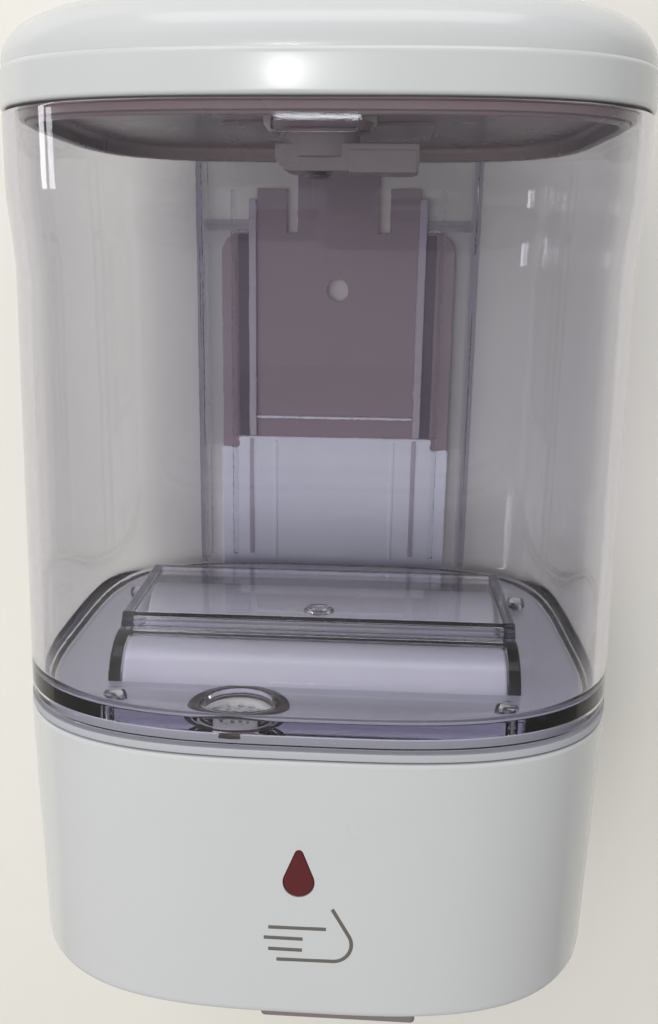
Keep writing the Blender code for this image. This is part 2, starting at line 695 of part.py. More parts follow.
def loft(name, sections, closed=False):
    """Skin through outlines given as (height, inset); a closed loft joins last to first."""
    shape = bmesh.new()
    rings = [[shape.verts.new(p) for p in outline(height, inset)] for height, inset in sections]
    pairs = list(zip(rings, rings[1:]))
    if closed:
        pairs.append((rings[-1], rings[0]))
    else:
        shape.faces.new(rings[0])
        shape.faces.new(rings[-1])
    for first, second in pairs:
        for k in range(OUTLINE_POINTS):
            nxt = (k + 1) % OUTLINE_POINTS
            shape.faces.new((first[k], first[nxt], second[nxt], second[k]))
    return from_bmesh(name, shape)


def foot_angle(centre, radius, low):
    """Angle, in degrees, at which an arc crosses a height; zero where that lies below its centre."""
    return math.degrees(math.asin(max(0, low - centre) / radius))


def hump_profile(depth, centre, radius, low):
    """Half-round profile in (depth from the wall, height), closed below."""
    foot = foot_angle(centre, radius, low)
    points = arc((-depth, centre), radius, foot, 180 - foot, ROUND_SEGMENTS // 2 + 1)
    if low < centre:
        points = [(-depth + radius, low), *points, (-depth - radius, low)]
    return points


def bar_along_x(name, profile, half_length):
    """Extrude a (y, z) profile to both sides of the middle plane."""
    return slab(name, [profile], ALONG_X, (0, 0, 0), 2 * half_length)


def build_wall_plate():
    slot_outer = TONGUE_HALF_WIDTH + SLOT_WIDTH
    corner_x = PLATE_HALF_WIDTH - PLATE_CORNER
    corner_z = PLATE_TOP - PLATE_CORNER
    right = [(PLATE_HALF_WIDTH, PLATE_LOW)]
    right += arc((corner_x, corner_z), PLATE_CORNER, 0, 90, 5)
    right += [
        (SHOULDER_HALF_WIDTH, PLATE_TOP),
        (SHOULDER_HALF_WIDTH, SHOULDER_TOP),
        (slot_outer, SHOULDER_TOP),
        (slot_outer, PLATE_TOP),
        (TONGUE_HALF_WIDTH, PLATE_TOP),
        (TONGUE_HALF_WIDTH, TONGUE_TOP),
    ]
    whole = right + [(-x, z) for x, z in reversed(right)]
    flange_thickness = PLATE_DEPTH - PAD_THICKNESS
    flange_middle = (0, -PLATE_DEPTH + flange_thickness / 2, 0)
    plate = slab("wall_plate", [whole], UPRIGHT, flange_middle, flange_thickness)
    pad = box(
        "wall_plate_pad",
        (-PAD_HALF_WIDTH, -PLATE_DEPTH + flange_thickness / 2, PLATE_LOW),
        (PAD_HALF_WIDTH, 0, PLATE_TOP - PLATE_CORNER),
    )
    join(plate, pad)
    hole_start = (0, -PLATE_DEPTH - OVERRUN, PLATE_HOLE_HEIGHT)
    cut(plate, rod("wall_plate_hole", "Y", hole_start, PLATE_DEPTH + 2 * OVERRUN, PLATE_HOLE_RADIUS))
    return painted(plate, "plum_plate")


def build_back_cover():
    outline_points = [
        (PLATE_HALF_WIDTH, COVER_LOW),
        (PLATE_HALF_WIDTH, COVER_SIDE_TOP),
        (COVER_STEP_HALF_WIDTH, COVER_SIDE_TOP),
        (COVER_STEP_HALF_WIDTH, COVER_TOP),
    ]
    whole = outline_points + [(-x, z) for x, z in reversed(outline_points)]
    middle = BACK_DEPTH - GAP - COVER_THICKNESS / 2
    cover = slab("back_cover", [whole], UPRIGHT, (0, -middle, 0), COVER_THICKNESS)
    return painted(cover, "white_inner")


def build_tank():
    skirt_inset = TANK_FOOT_INSET + TANK_SKIRT_WALL
    tank = loft("tank", [
        (FLOOR_UNDERSIDE, skirt_inset),
        (TANK_LOW, skirt_inset),
        (TANK_LOW, TANK_EDGE_INSET),
        (TANK_LOW + TANK_EDGE_HEIGHT, TANK_FOOT_INSET),
        (TANK_WAIST_HEIGHT, TANK_WAIST_INSET),
        (TANK_FLARE_HEIGHT, TANK_FLARE_INSET),
        (TANK_TOP, TANK_FLARE_INSET),
        (TANK_TOP, TANK_FLARE_INSET + TANK_WALL),
        (TANK_FLARE_HEIGHT, TANK_FLARE_INSET + TANK_WALL),
        (TANK_WAIST_HEIGHT, TANK_WAIST_INSET + TANK_WALL),
        (FLOOR_TOP + FLOOR_FILLET_HEIGHT, TANK_FOOT_INSET + TANK_WALL),
        (FLOOR_TOP, TANK_FOOT_INSET + TANK_WALL + FLOOR_FILLET),
    ])
    add_tank_steps(tank)
    add_tank_rails(tank)
    add_hinge_ears(tank)
    _, depth = body_size(KEEPER_LOW)
    wall_inside = depth - TANK_FLARE_INSET - TANK_WALL
    keeper = box(
        "tank_keeper",
        (-KEEPER_HALF_WIDTH, -wall_inside - TANK_WALL / 2, KEEPER_LOW),
        (KEEPER_HALF_WIDTH, -wall_inside + KEEPER_REACH, KEEPER_LOW + KEEPER_THICKNESS),
    )
    join(tank, keeper)
    add_outlet(tank)
    add_domes(tank)
    return painted(tank, "clear_tank")


def step_profile(wall, low):
    """Outer profile of the clear floor's steps, or its hollow when a wall is taken off."""
    front_radius = FRONT_HUMP_RADIUS + GAP + STEP_WALL - wall
    rear_top = REAR_HUMP_CENTRE + REAR_HUMP_RADIUS + GAP + STEP_WALL - wall
    rear_edge = REAR_HUMP_DEPTH - REAR_HUMP_RADIUS - GAP - STEP_WALL + wall
    riser = STEP_RISER_DEPTH - wall
    edge = STEP_EDGE_RADIUS - wall
    meet = math.degrees(math.acos((FRONT_HUMP_DEPTH - riser) / front_radius))
    foot = foot_angle(FRONT_HUMP_CENTRE, front_radius, low)
    points = arc((-FRONT_HUMP_DEPTH, FRONT_HUMP_CENTRE), front_radius, 180 - foot, meet, 10)
    if low < FRONT_HUMP_CENTRE:
        points.insert(0, (-FRONT_HUMP_DEPTH - front_radius, low))
    points += [(-riser, rear_top)]
    points += arc((-rear_edge - edge, rear_top - edge), edge, 90, 0, 5)
    points += [(-rear_edge, low)]
    return points


def add_tank_steps(tank):
    mid_floor = (FLOOR_UNDERSIDE + FLOOR_TOP) / 2
    join(tank, bar_along_x("tank_step", step_profile(0, mid_floor), STEP_HALF_WIDTH))
    hollow_half = STEP_HALF_WIDTH - STEP_WALL
    cut(tank, bar_along_x("tank_step_hollow", step_profile(STEP_WALL, TANK_LOW), hollow_half))


def add_tank_rails(tank):
    """Upright ribs on the back, with lips and hooks that hang on the wall plate."""
    for side, label in ((-1, "left"), (1, "right")):
        rib = box(
            f"tank_rib_{label}",
            (side * RIB_X - RIB_THICKNESS / 2, -RIB_ROOT_DEPTH, TANK_LOW + TANK_EDGE_HEIGHT),
            (side * RIB_X + RIB_THICKNESS / 2, -RIB_STANDOFF, RIB_TOP),
        )
        join(tank, rib)
        lip_x = sorted((side * LIP_INNER_X, side * RIB_X))
        lip = box(
            f"tank_lip_{label}",
            (lip_x[0], -RIB_STANDOFF - LIP_SETBACK - LIP_THICKNESS, COVER_SIDE_TOP),
            (lip_x[1], -RIB_STANDOFF - LIP_SETBACK, PLATE_TOP + GAP + HOOK_HEIGHT / 2),
        )
        join(tank, lip)
        hook_x = sorted((side * HOOK_INNER_X, side * RIB_X))
        hook = box(
            f"tank_hook_{label}",
            (hook_x[0], -HOOK_ROOT_DEPTH - OVERRUN, PLATE_TOP + GAP),
            (hook_x[1], -RIB_STANDOFF - 2 * LIP_SETBACK, PLATE_TOP + GAP + HOOK_HEIGHT),
        )
        join(tank, hook)


def add_hinge_ears(tank):
    """Round ears on narrow posts that grow out of the rear wall's rim."""
    profile = arc((-HINGE_DEPTH, HINGE_HEIGHT), HINGE_EAR_RADIUS, -45, 225, FINE_SEGMENTS)
    profile += [(-HINGE_POST_FRONT, HINGE_EAR_ROOT), (-HINGE_POST_REAR, HINGE_EAR_ROOT)]
    for side, label in ((-1, "left"), (1, "right")):
        middle = side * (HINGE_EAR_X + HINGE_EAR_WIDTH / 2)
        join(tank, slab(f"tank_ear_{label}", [profile], ALONG_X, (middle, 0, 0), HINGE_EAR_WIDTH))
        hole_length = HINGE_EAR_WIDTH + 2 * OVERRUN
        hole_start = (middle - hole_length / 2, -HINGE_DEPTH, HINGE_HEIGHT)
        hole_radius = HINGE_PIN_RADIUS + GAP / 2
        cut(tank, rod(f"tank_ear_hole_{label}", "X", hole_start, hole_length, hole_radius, FINE_SEGMENTS))


def add_outlet(tank):
    mid_floor = (FLOOR_UNDERSIDE + FLOOR_TOP) / 2
    low = (OUTLET_X, -OUTLET_DEPTH, SPIGOT_LOW)
    join(tank, rod("tank_spigot", "Z", low, mid_floor - SPIGOT_LOW, SPIGOT_RADIUS))
    bore_low = (OUTLET_X, -OUTLET_DEPTH, SPIGOT_LOW - OVERRUN)
    cut(tank, rod("tank_outlet", "Z", bore_low, FLOOR_TOP - SPIGOT_LOW + 2 * OVERRUN, OUTLET_BORE))


def screw_places():
    for x, depth in TANK_SCREW_PLACES:
        for side in (-1, 1):
            yield side * x, depth


def add_domes(tank):
    mid_floor = (FLOOR_UNDERSIDE + FLOOR_TOP) / 2
    pilot_radius = TANK_SCREW_RADIUS + GAP
    for number, (x, depth) in enumerate(screw_places(), 1):
        low = (x, -depth, mid_floor)
        dome = rod(f"tank_dome_{number}", "Z", low, DOME_TOP - mid_floor, DOME_RADIUS, FINE_SEGMENTS)
        join(tank, dome)
        pilot_low = (x, -depth, TANK_LOW)
        pilot_length = TANK_SCREW_END + GAP - TANK_LOW
        cut(tank, rod(f"tank_pilot_{number}", "Z", pilot_low, pilot_length, pilot_radius, FINE_SEGMENTS))


def build_tank_screws():
    head_top = DECK_UNDERSIDE - GAP
    for number, (x, depth) in enumerate(screw_places(), 1):
        screw = turned(f"tank_screw_{number}", [
            (0, TANK_SCREW_END),
            (TANK_SCREW_RADIUS, TANK_SCREW_END - TANK_SCREW_RADIUS),
            (TANK_SCREW_RADIUS, head_top),
            (TANK_SCREW_HEAD, head_top),
            (TANK_SCREW_HEAD, head_top - TANK_SCREW_HEAD_HEIGHT),
            (0, head_top - TANK_SCREW_HEAD_HEIGHT),
        ], (x, -depth, 0), FINE_SEGMENTS)
        painted(screw, "plated_steel")


def build_outlet_pieces():
    seal_low = SEAL_SEAT_HEIGHT + GAP
    inner = SPIGOT_RADIUS + GAP
    seal = turned("outlet_seal", [
        (inner, seal_low + SEAL_HEIGHT),
        (SEAL_RADIUS, seal_low + SEAL_HEIGHT),
        (SEAL_RADIUS, seal_low),
        (inner, seal_low),
    ], (OUTLET_X, -OUTLET_DEPTH, 0))
    painted(seal, "dark_rubber")
    low = (OUTLET_X, -OUTLET_DEPTH, FILTER_LOW)
    painted(rod("outlet_filter", "Z", low, FILTER_THICKNESS, OUTLET_BORE - GAP), "soft_silicone")


def build_deck():
    rib_inset = SHELL_EDGE_INSET + SHELL_WALL + GAP
    plateau_inset = TANK_FOOT_INSET + TANK_SKIRT_WALL + BOTTOM_GAP
    deck = loft("base_deck", [
        (DECK_UNDERSIDE, rib_inset + DECK_RIB_WALL),
        (DECK_RIB_LOW, rib_inset + DECK_RIB_WALL),
        (DECK_RIB_LOW, rib_inset),
        (SEAM_HEIGHT, rib_inset),
        (SEAM_HEIGHT, DECK_RIM_INSET),
        (DECK_RIM_TOP, DECK_RIM_INSET),
        (DECK_RIM_TOP, plateau_inset),
        (DECK_TOP, plateau_inset),
    ])
    mid_deck = (DECK_UNDERSIDE + DECK_TOP) / 2
    humps = (
        ("front", FRONT_HUMP_DEPTH, FRONT_HUMP_CENTRE, FRONT_HUMP_RADIUS),
        ("rear", REAR_HUMP_DEPTH, REAR_HUMP_CENTRE, REAR_HUMP_RADIUS),
    )
    for label, depth, centre, radius in humps:
        hump = hump_profile(depth, centre, radius, mid_deck)
        join(deck, bar_along_x(f"deck_hump_{label}", hump, HUMP_HALF_LENGTH))
    for label, depth, centre, radius in humps:
        hollow = hump_profile(depth, centre, radius - HUMP_WALL, DECK_UNDERSIDE - OVERRUN)
        cut(deck, bar_along_x(f"deck_hollow_{label}", hollow, HUMP_HALF_LENGTH - HUMP_WALL))
    add_deck_cup(deck)
    for number, (x, depth) in enumerate(screw_places(), 1):
        low = (x, -depth, DECK_UNDERSIDE - OVERRUN)
        hole_length = DECK_TOP - DECK_UNDERSIDE + 2 * OVERRUN
        hole_radius = TANK_SCREW_RADIUS + GAP
        cut(deck, rod(f"deck_hole_{number}", "Z", low, hole_length, hole_radius, FINE_SEGMENTS))
    return painted(deck, "white_inner")


def add_deck_cup(deck):
    """Local thickening of the deck that carries the outlet seal."""
    place = (OUTLET_X, -OUTLET_DEPTH)
    cup_low = SPIGOT_LOW + GAP
    mid_deck = (DECK_UNDERSIDE + DECK_TOP) / 2
    join(deck, rod("deck_cup", "Z", (*place, cup_low), mid_deck - cup_low, DECK_CUP_RADIUS))
    seat_height = DECK_TOP - SEAL_SEAT_HEIGHT + OVERRUN
    seat_radius = SEAL_RADIUS + GAP
    cut(deck, rod("deck_seal_seat", "Z", (*place, SEAL_SEAT_HEIGHT), seat_height, seat_radius))
    bore_length = DECK_TOP - cup_low + 2 * OVERRUN
    bore_radius = SPIGOT_RADIUS + GAP
    cut(deck, rod("deck_bore", "Z", (*place, cup_low - OVERRUN), bore_length, bore_radius))


def front_lean():
    """Angle by which the front of the base leans forward towards its foot."""
    return math.atan2(BASE_DEPTH - SEAM_DEPTH, SEAM_HEIGHT)


def drop_outline(growth):
    """Drop shape round its own centre, grown by a clearance: arc below, tangent lines to the tip."""
    radius = DROP_RADIUS + growth
    tip = DROP_TIP + growth * DROP_TIP / DROP_RADIUS
    contact = math.degrees(math.asin(radius / tip))
    return [(0, tip)] + arc((0, 0), radius, 180 - contact, 360 + contact, DROP_POINTS)


def drop_slab(name, growth, sink, thickness):
    """Drop-shaped prism square to the leaning front wall."""
    _, depth = body_size(DROP_CENTRE)
    lean = Matrix.Rotation(-front_lean(), 4, "X")
    middle = (DROP_X, -depth, DROP_CENTRE)
    inward = Matrix.Translation((0, 0, -sink - thickness / 2))
    obj = slab(name, [drop_outline(growth)], inward, (0, 0, 0), thickness)
    obj.data.transform(Matrix.Translation(middle) @ lean @ UPRIGHT)
    return obj


def build_base_shell():
    shell = loft("base_shell", [
        (0, SHELL_EDGE_INSET),
        (SHELL_EDGE_HEIGHT, 0),
        (SHELL_TOP - SHELL_EDGE_INSET, 0),
        (SHELL_TOP, SHELL_EDGE_INSET),
        (SHELL_TOP, SHELL_EDGE_INSET + SHELL_WALL),
        (0, SHELL_EDGE_INSET + SHELL_WALL),
    ], closed=True)
    for side, label in ((-1, "left"), (1, "right")):
        start = (side * BOSS_X, -BOSS_DEPTH, CASE_LOW)
        join(shell, rod(f"shell_boss_{label}", "Z", start, BOSS_TOP - CASE_LOW, BOSS_RADIUS))
        pilot = (side * BOSS_X, -BOSS_DEPTH, CASE_LOW - OVERRUN)
        pilot_length = BASE_SCREW_END + GAP - CASE_LOW + OVERRUN
        pilot_radius = BASE_SCREW_RADIUS + GAP
        cut(shell, rod(f"shell_pilot_{label}", "Z", pilot, pilot_length, pilot_radius, FINE_SEGMENTS))
        cut(shell, grip_cutter(side, f"shell_grip_{label}"))
    cut(shell, drop_slab("shell_drop", GAP, -OVERRUN, SHELL_WALL + SHELL_EDGE_INSET + 3 * OVERRUN))
    return painted(shell, "white_shell")


def grip_cutter(side, name):
    """Shallow upright scallop with a round foot in the side of the base."""
    profile = arc((0, GRIP_LOW + GRIP_RADIUS), GRIP_RADIUS, 180, 360, ROUND_SEGMENTS // 2 + 1)
    profile += [(GRIP_RADIUS, SHELL_TOP + OVERRUN), (-GRIP_RADIUS, SHELL_TOP + OVERRUN)]
    half_width, _ = body_size(GRIP_LOW)
    reach = 2 * OVERRUN + SEAM_HALF_WIDTH - half_width
    centre = (side * (half_width - GRIP_SINK + reach / 2), -WIDEST_DEPTH, 0)
    return slab(name, [profile], ALONG_X, centre, reach)


def build_base_bottom():
    inset = SHELL_EDGE_INSET + SHELL_WALL + BOTTOM_GAP
    bottom = loft("base_bottom", [(BOTTOM_LOW, inset), (BOTTOM_TOP, inset)])
    low, high = BOTTOM_LOW - OVERRUN, BOTTOM_TOP + OVERRUN
    door = centred_box(
        "bottom_door_hole", 0, DOOR_HALF_WIDTH + GAP,
        REAR_HUMP_DEPTH, DOOR_HALF_DEPTH + GAP, low, high,
    )
    cut(bottom, door)
    housing = box(
        "bottom_housing_hole",
        (HOUSING_LEFT - GAP, -HOUSING_FRONT - GAP, low),
        (HOUSING_RIGHT + GAP, -HOUSING_REAR + GAP, high),
    )
    cut(bottom, housing)
    slot = centred_box(
        "bottom_slot", SWITCH_X, SWITCH_SLOT_HALF,
        SWITCH_DEPTH, KNOB_HALF_WIDTH + GAP, low, high,
    )
    cut(bottom, slot)
    for side, label in ((-1, "left"), (1, "right")):
        start = (side * BOSS_X, -BOSS_DEPTH, low)
        hole_radius = BASE_SCREW_RADIUS + GAP
        cut(bottom, rod(f"bottom_hole_{label}", "Z", start, high - low, hole_radius, FINE_SEGMENTS))
    return painted(bottom, "white_shell")


def build_base_screws():
    head_top = BOTTOM_LOW - GAP
    for side, label in ((-1, "left"), (1, "right")):
        screw = turned(f"base_screw_{label}", [
            (0, BASE_SCREW_END),
            (BASE_SCREW_RADIUS, BASE_SCREW_END - BASE_SCREW_RADIUS),
            (BASE_SCREW_RADIUS, head_top),
            (BASE_SCREW_HEAD, head_top),
            (BASE_SCREW_HEAD, 0),
            (0, 0),
        ], (side * BOSS_X, -BOSS_DEPTH, 0), FINE_SEGMENTS)
        painted(screw, "plated_steel")


def crown_ring(share, thickness):
    """Height and inset of a ring on the crown's quarter curve, or on its underside."""
    angle = share * math.pi / 2
    run = 1 - math.cos(angle) ** (2 / CROWN_POWER_SHARE)
    rise = math.sin(angle) ** (2 / CROWN_POWER_SHARE)
    base_inset = CREASE_INSET + thickness
    height = CREASE_HEIGHT + (LID_RISE - thickness) * rise
    return height, base_inset + (CROWN_RUN - base_inset) * run


def build_lid_shell():
    outer = [crown_ring(ring / CROWN_RINGS, 0) for ring in range(CROWN_RINGS + 1)]
    inner = [crown_ring(ring / CROWN_RINGS, LID_WALL) for ring in range(CROWN_RINGS + 1)]
    lid = loft("lid_shell", [
        *reversed(inner),
        (CREASE_HEIGHT - CREASE_DROP, LID_WALL),
        (TOP_HEIGHT, LID_WALL + LID_EDGE_INSET),
        (TOP_HEIGHT, LID_EDGE_INSET),
        (TOP_HEIGHT + LID_EDGE_HEIGHT, 0),
        (CREASE_HEIGHT - CREASE_DROP, 0),
        *outer,
    ])
    relief = box(
        "lid_relief",
        (-HINGE_RELIEF_HALF_WIDTH, -HINGE_DEPTH - HINGE_EAR_RADIUS, TOP_HEIGHT - OVERRUN),
        (HINGE_RELIEF_HALF_WIDTH, 0, TOP_HEIGHT + HINGE_RELIEF),
    )
    cut(lid, relief)
    add_lid_lugs(lid)
    post_low = LINER_LOW + LINER_THICKNESS + GAP
    post_top = CREASE_HEIGHT + LID_RISE - LID_WALL / 2
    for number, (x, depth) in enumerate(LID_POST_PLACES, 1):
        for side, label in ((-1, "left"), (1, "right")):
            low = (side * x, -depth, post_low)
            height = post_top - post_low - GAP
            post_name = f"lid_post_{number}_{label}"
            join(lid, rod(post_name, "Z", low, height, LID_POST_RADIUS, FINE_SEGMENTS))
    tower_low = (0, -LOCK_DEPTH, LOCK_TOWER_LOW)
    tower_height = LOCK_HEAD_LOW + LOCK_HEAD_HEIGHT - LOCK_TOWER_LOW
    join(lid, rod("lid_lock_tower", "Z", tower_low, tower_height, LOCK_TOWER_RADIUS))
    bore_low = (0, -LOCK_DEPTH, CREASE_HEIGHT)
    cut(lid, rod("lid_lock_bore", "Z", bore_low, LID_RISE + OVERRUN, LOCK_RADIUS + GAP))
    seat_low = (0, -LOCK_DEPTH, LOCK_HEAD_LOW - GAP)
    cut(lid, rod("lid_lock_seat", "Z", seat_low, LID_RISE, LOCK_HEAD_RADIUS + GAP))
    return painted(lid, "white_shell")


def add_lid_lugs(lid):
    """Lugs inside the tank's ears, with windows for the ears and a hole on the hinge axis."""
    reach = HINGE_EAR_RADIUS + GAP
    for side, label in ((-1, "left"), (1, "right")):
        window_x = sorted((side * (HINGE_EAR_X - GAP), side * (HINGE_EAR_X + HINGE_EAR_WIDTH + GAP)))
        window = box(
            f"lid_window_{label}",
            (window_x[0], -HINGE_DEPTH - reach, TOP_HEIGHT - OVERRUN),
            (window_x[1], 0, HINGE_HEIGHT + reach),
        )
        cut(lid, window)
        lug_x = sorted((side * (HINGE_EAR_X - GAP), side * (HINGE_EAR_X - GAP - HINGE_LUG_WIDTH)))
        lug = box(
            f"lid_lug_{label}",
            (lug_x[0], -HINGE_DEPTH - HINGE_EAR_RADIUS, HINGE_HEIGHT - HINGE_EAR_RADIUS + GAP),
            (lug_x[1], -HINGE_LUG_REAR, CREASE_HEIGHT + LID_WALL),
        )
        join(lid, lug)
        hole_length = HINGE_LUG_WIDTH + 2 * OVERRUN
        hole_radius = HINGE_PIN_RADIUS + GAP / 2
        hole_start = (lug_x[0] - OVERRUN, -HINGE_DEPTH, HINGE_HEIGHT)
        cut(lid, rod(f"lid_lug_hole_{label}", "X", hole_start, hole_length, hole_radius, FINE_SEGMENTS))


def build_hinge_pins():
    length = HINGE_EAR_WIDTH + HINGE_LUG_WIDTH - GAP
    for side, label in ((-1, "left"), (1, "right")):
        outer_x = HINGE_EAR_X + HINGE_EAR_WIDTH - GAP
        start_x = outer_x - length if side > 0 else -outer_x
        start = (start_x, -HINGE_DEPTH, HINGE_HEIGHT)
        pin = rod(f"hinge_pin_{label}", "X", start, length, HINGE_PIN_RADIUS, FINE_SEGMENTS)
        painted(pin, "plated_steel")


def build_lid_liner():
    skirt_inner = LINER_INSET + LINER_SKIRT_WALL
    liner = loft("lid_liner", [
        (LINER_LOW, skirt_inner),
        (LINER_SKIRT_LOW, skirt_inner),
        (LINER_SKIRT_LOW, LINER_INSET),
        (LINER_LOW + LINER_THICKNESS, LINER_INSET),
    ])
    low = (0, -LOCK_DEPTH, LINER_LOW - OVERRUN)
    cut(liner, rod("liner_lock_hole", "Z", low, LINER_THICKNESS + 2 * OVERRUN, LOCK_RADIUS + GAP))
    painted(liner, "taupe_liner")
    gasket_inner = LINER_INSET - GAP
    gasket = loft("lid_gasket", [
        (GASKET_LOW, GASKET_INSET),
        (GASKET_LOW + GASKET_HEIGHT, GASKET_INSET),
        (GASKET_LOW + GASKET_HEIGHT, gasket_inner),
        (GASKET_LOW, gasket_inner),
    ], closed=True)
    painted(gasket, "soft_silicone")


def build_lock():
    place = (0, -LOCK_DEPTH, 0)
    bore = LOCK_RADIUS + GAP
    boss_top = LINER_LOW - GAP
    boss = turned("lock_boss", [
        (bore, boss_top),
        (LOCK_BOSS_RADIUS, boss_top),
        (LOCK_BOSS_RADIUS, LOCK_BOSS_LOW + LOCK_SCREW_HEAD_HEIGHT),
        (LOCK_BOSS_RADIUS - LOCK_SCREW_HEAD_HEIGHT, LOCK_BOSS_LOW),
        (bore, LOCK_BOSS_LOW),
    ], place)
    painted(boss, "taupe_liner")
    head_top = LOCK_HEAD_LOW + LOCK_HEAD_HEIGHT
    barrel = turned("lock_barrel", [
        (0, head_top),
        (LOCK_HEAD_RADIUS, head_top),
        (LOCK_HEAD_RADIUS, LOCK_HEAD_LOW),
        (LOCK_RADIUS, LOCK_HEAD_LOW),
        (LOCK_RADIUS, LOCK_LOW),
        (0, LOCK_LOW),
    ], place)
    screw_hole = LOCK_SCREW_RADIUS + GAP
    hole_low = (0, -LOCK_DEPTH, LOCK_LOW - OVERRUN)
    hole_length = LOCK_SCREW_END - LOCK_LOW + GAP + OVERRUN
    cut(barrel, rod("barrel_screw_hole", "Z", hole_low, hole_length, screw_hole, FINE_SEGMENTS))
    keyway = centred_box(
        "barrel_keyway", 0, KEYWAY_LENGTH / 2,
        LOCK_DEPTH, KEYWAY_WIDTH / 2, head_top - KEYWAY_SINK, head_top + OVERRUN,
    )
    cut(barrel, keyway)
    painted(barrel, "bright_metal")
    build_lock_cam(screw_hole)
    head_low = CAM_LOW - GAP - LOCK_SCREW_HEAD_HEIGHT
    screw = turned("lock_screw", [
        (0, LOCK_SCREW_END),
        (LOCK_SCREW_RADIUS, LOCK_SCREW_END - LOCK_SCREW_RADIUS),
        (LOCK_SCREW_RADIUS, CAM_LOW - GAP),
        (LOCK_SCREW_HEAD, CAM_LOW - GAP),
        (LOCK_SCREW_HEAD, head_low + LOCK_SCREW_HEAD_HEIGHT / 2),
        (LOCK_SCREW_RADIUS, head_low),
        (0, head_low),
    ], place, FINE_SEGMENTS)
    painted(screw, "plated_steel")


def build_lock_cam(screw_hole):
    """Cam arm with a rounded lower corner, hanging on a round hub."""
    corner = (-CAM_LEFT + CAM_CORNER, CAM_LOW + CAM_CORNER)
    profile = arc(corner, CAM_CORNER, 180, 270, 5)
    profile += [(CAM_RIGHT, CAM_LOW), (CAM_RIGHT, CAM_TOP), (-CAM_LEFT, CAM_TOP)]
    cam = slab("lock_cam", [profile], UPRIGHT, (0, -LOCK_DEPTH, 0), 2 * CAM_HALF_DEPTH)
    mid_cam = (CAM_LOW + CAM_TOP) / 2
    hub_top = LOCK_LOW - GAP
    join(cam, rod("cam_hub", "Z", (0, -LOCK_DEPTH, mid_cam), hub_top - mid_cam, CAM_HUB_RADIUS))
    hole_low = (0, -LOCK_DEPTH, CAM_LOW - OVERRUN)
    cut(cam, rod("cam_hole", "Z", hole_low, hub_top - CAM_LOW + 2 * OVERRUN, screw_hole, FINE_SEGMENTS))
    turn_about(cam, (0, -LOCK_DEPTH, CAM_LOW))
    painted(cam, "grey_plastic")


def cell_x(number):
    return (number - (CELL_COUNT - 1) / 2) * CELL_PITCH


def build_battery_case():
    bore = CELL_RADIUS + CASE_CLEARANCE
    case = centred_box(
        "battery_case", 0, CASE_HALF_WIDTH,
        REAR_HUMP_DEPTH, CASE_HALF_DEPTH, CASE_LOW, CASE_ROOF_TOP,
    )
    flange_top = CASE_LOW + CASE_FLANGE_THICKNESS
    flange = centred_box(
        "case_flange", 0, CASE_FLANGE_HALF_WIDTH,
        REAR_HUMP_DEPTH, CASE_FLANGE_HALF_DEPTH, CASE_LOW, flange_top,
    )
    join(case, flange)
    for number in range(CELL_COUNT):
        start = (cell_x(number), -REAR_HUMP_DEPTH, CASE_LOW - OVERRUN)
        length = CASE_ROOF_LOW - CASE_LOW + OVERRUN
        cut(case, rod(f"case_bore_{number + 1}", "Z", start, length, bore))
    for label, pair_middle in (("left", -CELL_PITCH), ("right", CELL_PITCH)):
        recess_low = CASE_ROOF_LOW - CONTACT_THICKNESS - 2 * GAP
        recess = centred_box(
            f"case_recess_{label}", pair_middle, contact_half_width() + GAP,
            REAR_HUMP_DEPTH, CONTACT_HALF_DEPTH + GAP, recess_low, CASE_ROOF_LOW,
        )
        cut(case, recess)
    return painted(case, "black_plastic")


def contact_half_width():
    return CELL_PITCH / 2 + CELL_RADIUS - CASE_WALL / 2


def build_contacts():
    top = CASE_ROOF_LOW - GAP
    for label, x in (("left", -CELL_PITCH), ("right", CELL_PITCH)):
        plate = centred_box(
            f"contact_top_{label}", x, contact_half_width(),
            REAR_HUMP_DEPTH, CONTACT_HALF_DEPTH, top - CONTACT_THICKNESS, top,
        )
        painted(plate, "plated_steel")
    low = BOTTOM_LOW + DOOR_THICKNESS + GAP
    plate = centred_box(
        "contact_bottom", 0, contact_half_width(),
        REAR_HUMP_DEPTH, CONTACT_HALF_DEPTH, low, low + CONTACT_THICKNESS,
    )
    painted(plate, "plated_steel")


def build_cells_and_springs():
    """Cells stand head up and head down in turn, each with a spring at its flat end."""
    contact_low = CASE_ROOF_LOW - GAP - CONTACT_THICKNESS
    door_top = BOTTOM_LOW + DOOR_THICKNESS
    for number in range(CELL_COUNT):
        head_up = number % 2 == 0
        place = (cell_x(number), -REAR_HUMP_DEPTH, 0)
        if head_up:
            cell_low = contact_low - GAP - CELL_LENGTH
            spring_low = cell_low - GAP - SPRING_HEIGHT
        else:
            cell_low = door_top + 2 * GAP + CONTACT_THICKNESS
            spring_low = cell_low + CELL_LENGTH + GAP
        build_cell(number + 1, place, cell_low, head_up)
        build_spring(number + 1, place, spring_low + SPRING_WIRE)


def build_cell(number, place, low, head_up):
    heights = [0, CELL_LENGTH - CELL_NUB_HEIGHT, CELL_LENGTH]
    profile = [
        (0, heights[2]),
        (CELL_NUB_RADIUS, heights[2]),
        (CELL_NUB_RADIUS, heights[1]),
        (CELL_RADIUS, heights[1]),
        (CELL_RADIUS, heights[0]),
        (0, heights[0]),
    ]
    if not head_up:
        profile = [(radius, CELL_LENGTH - height) for radius, height in reversed(profile)]
    cell = turned(f"battery_cell_{number}", [(radius, low + height) for radius, height in profile], place)
    painted(cell, "cell_jacket")


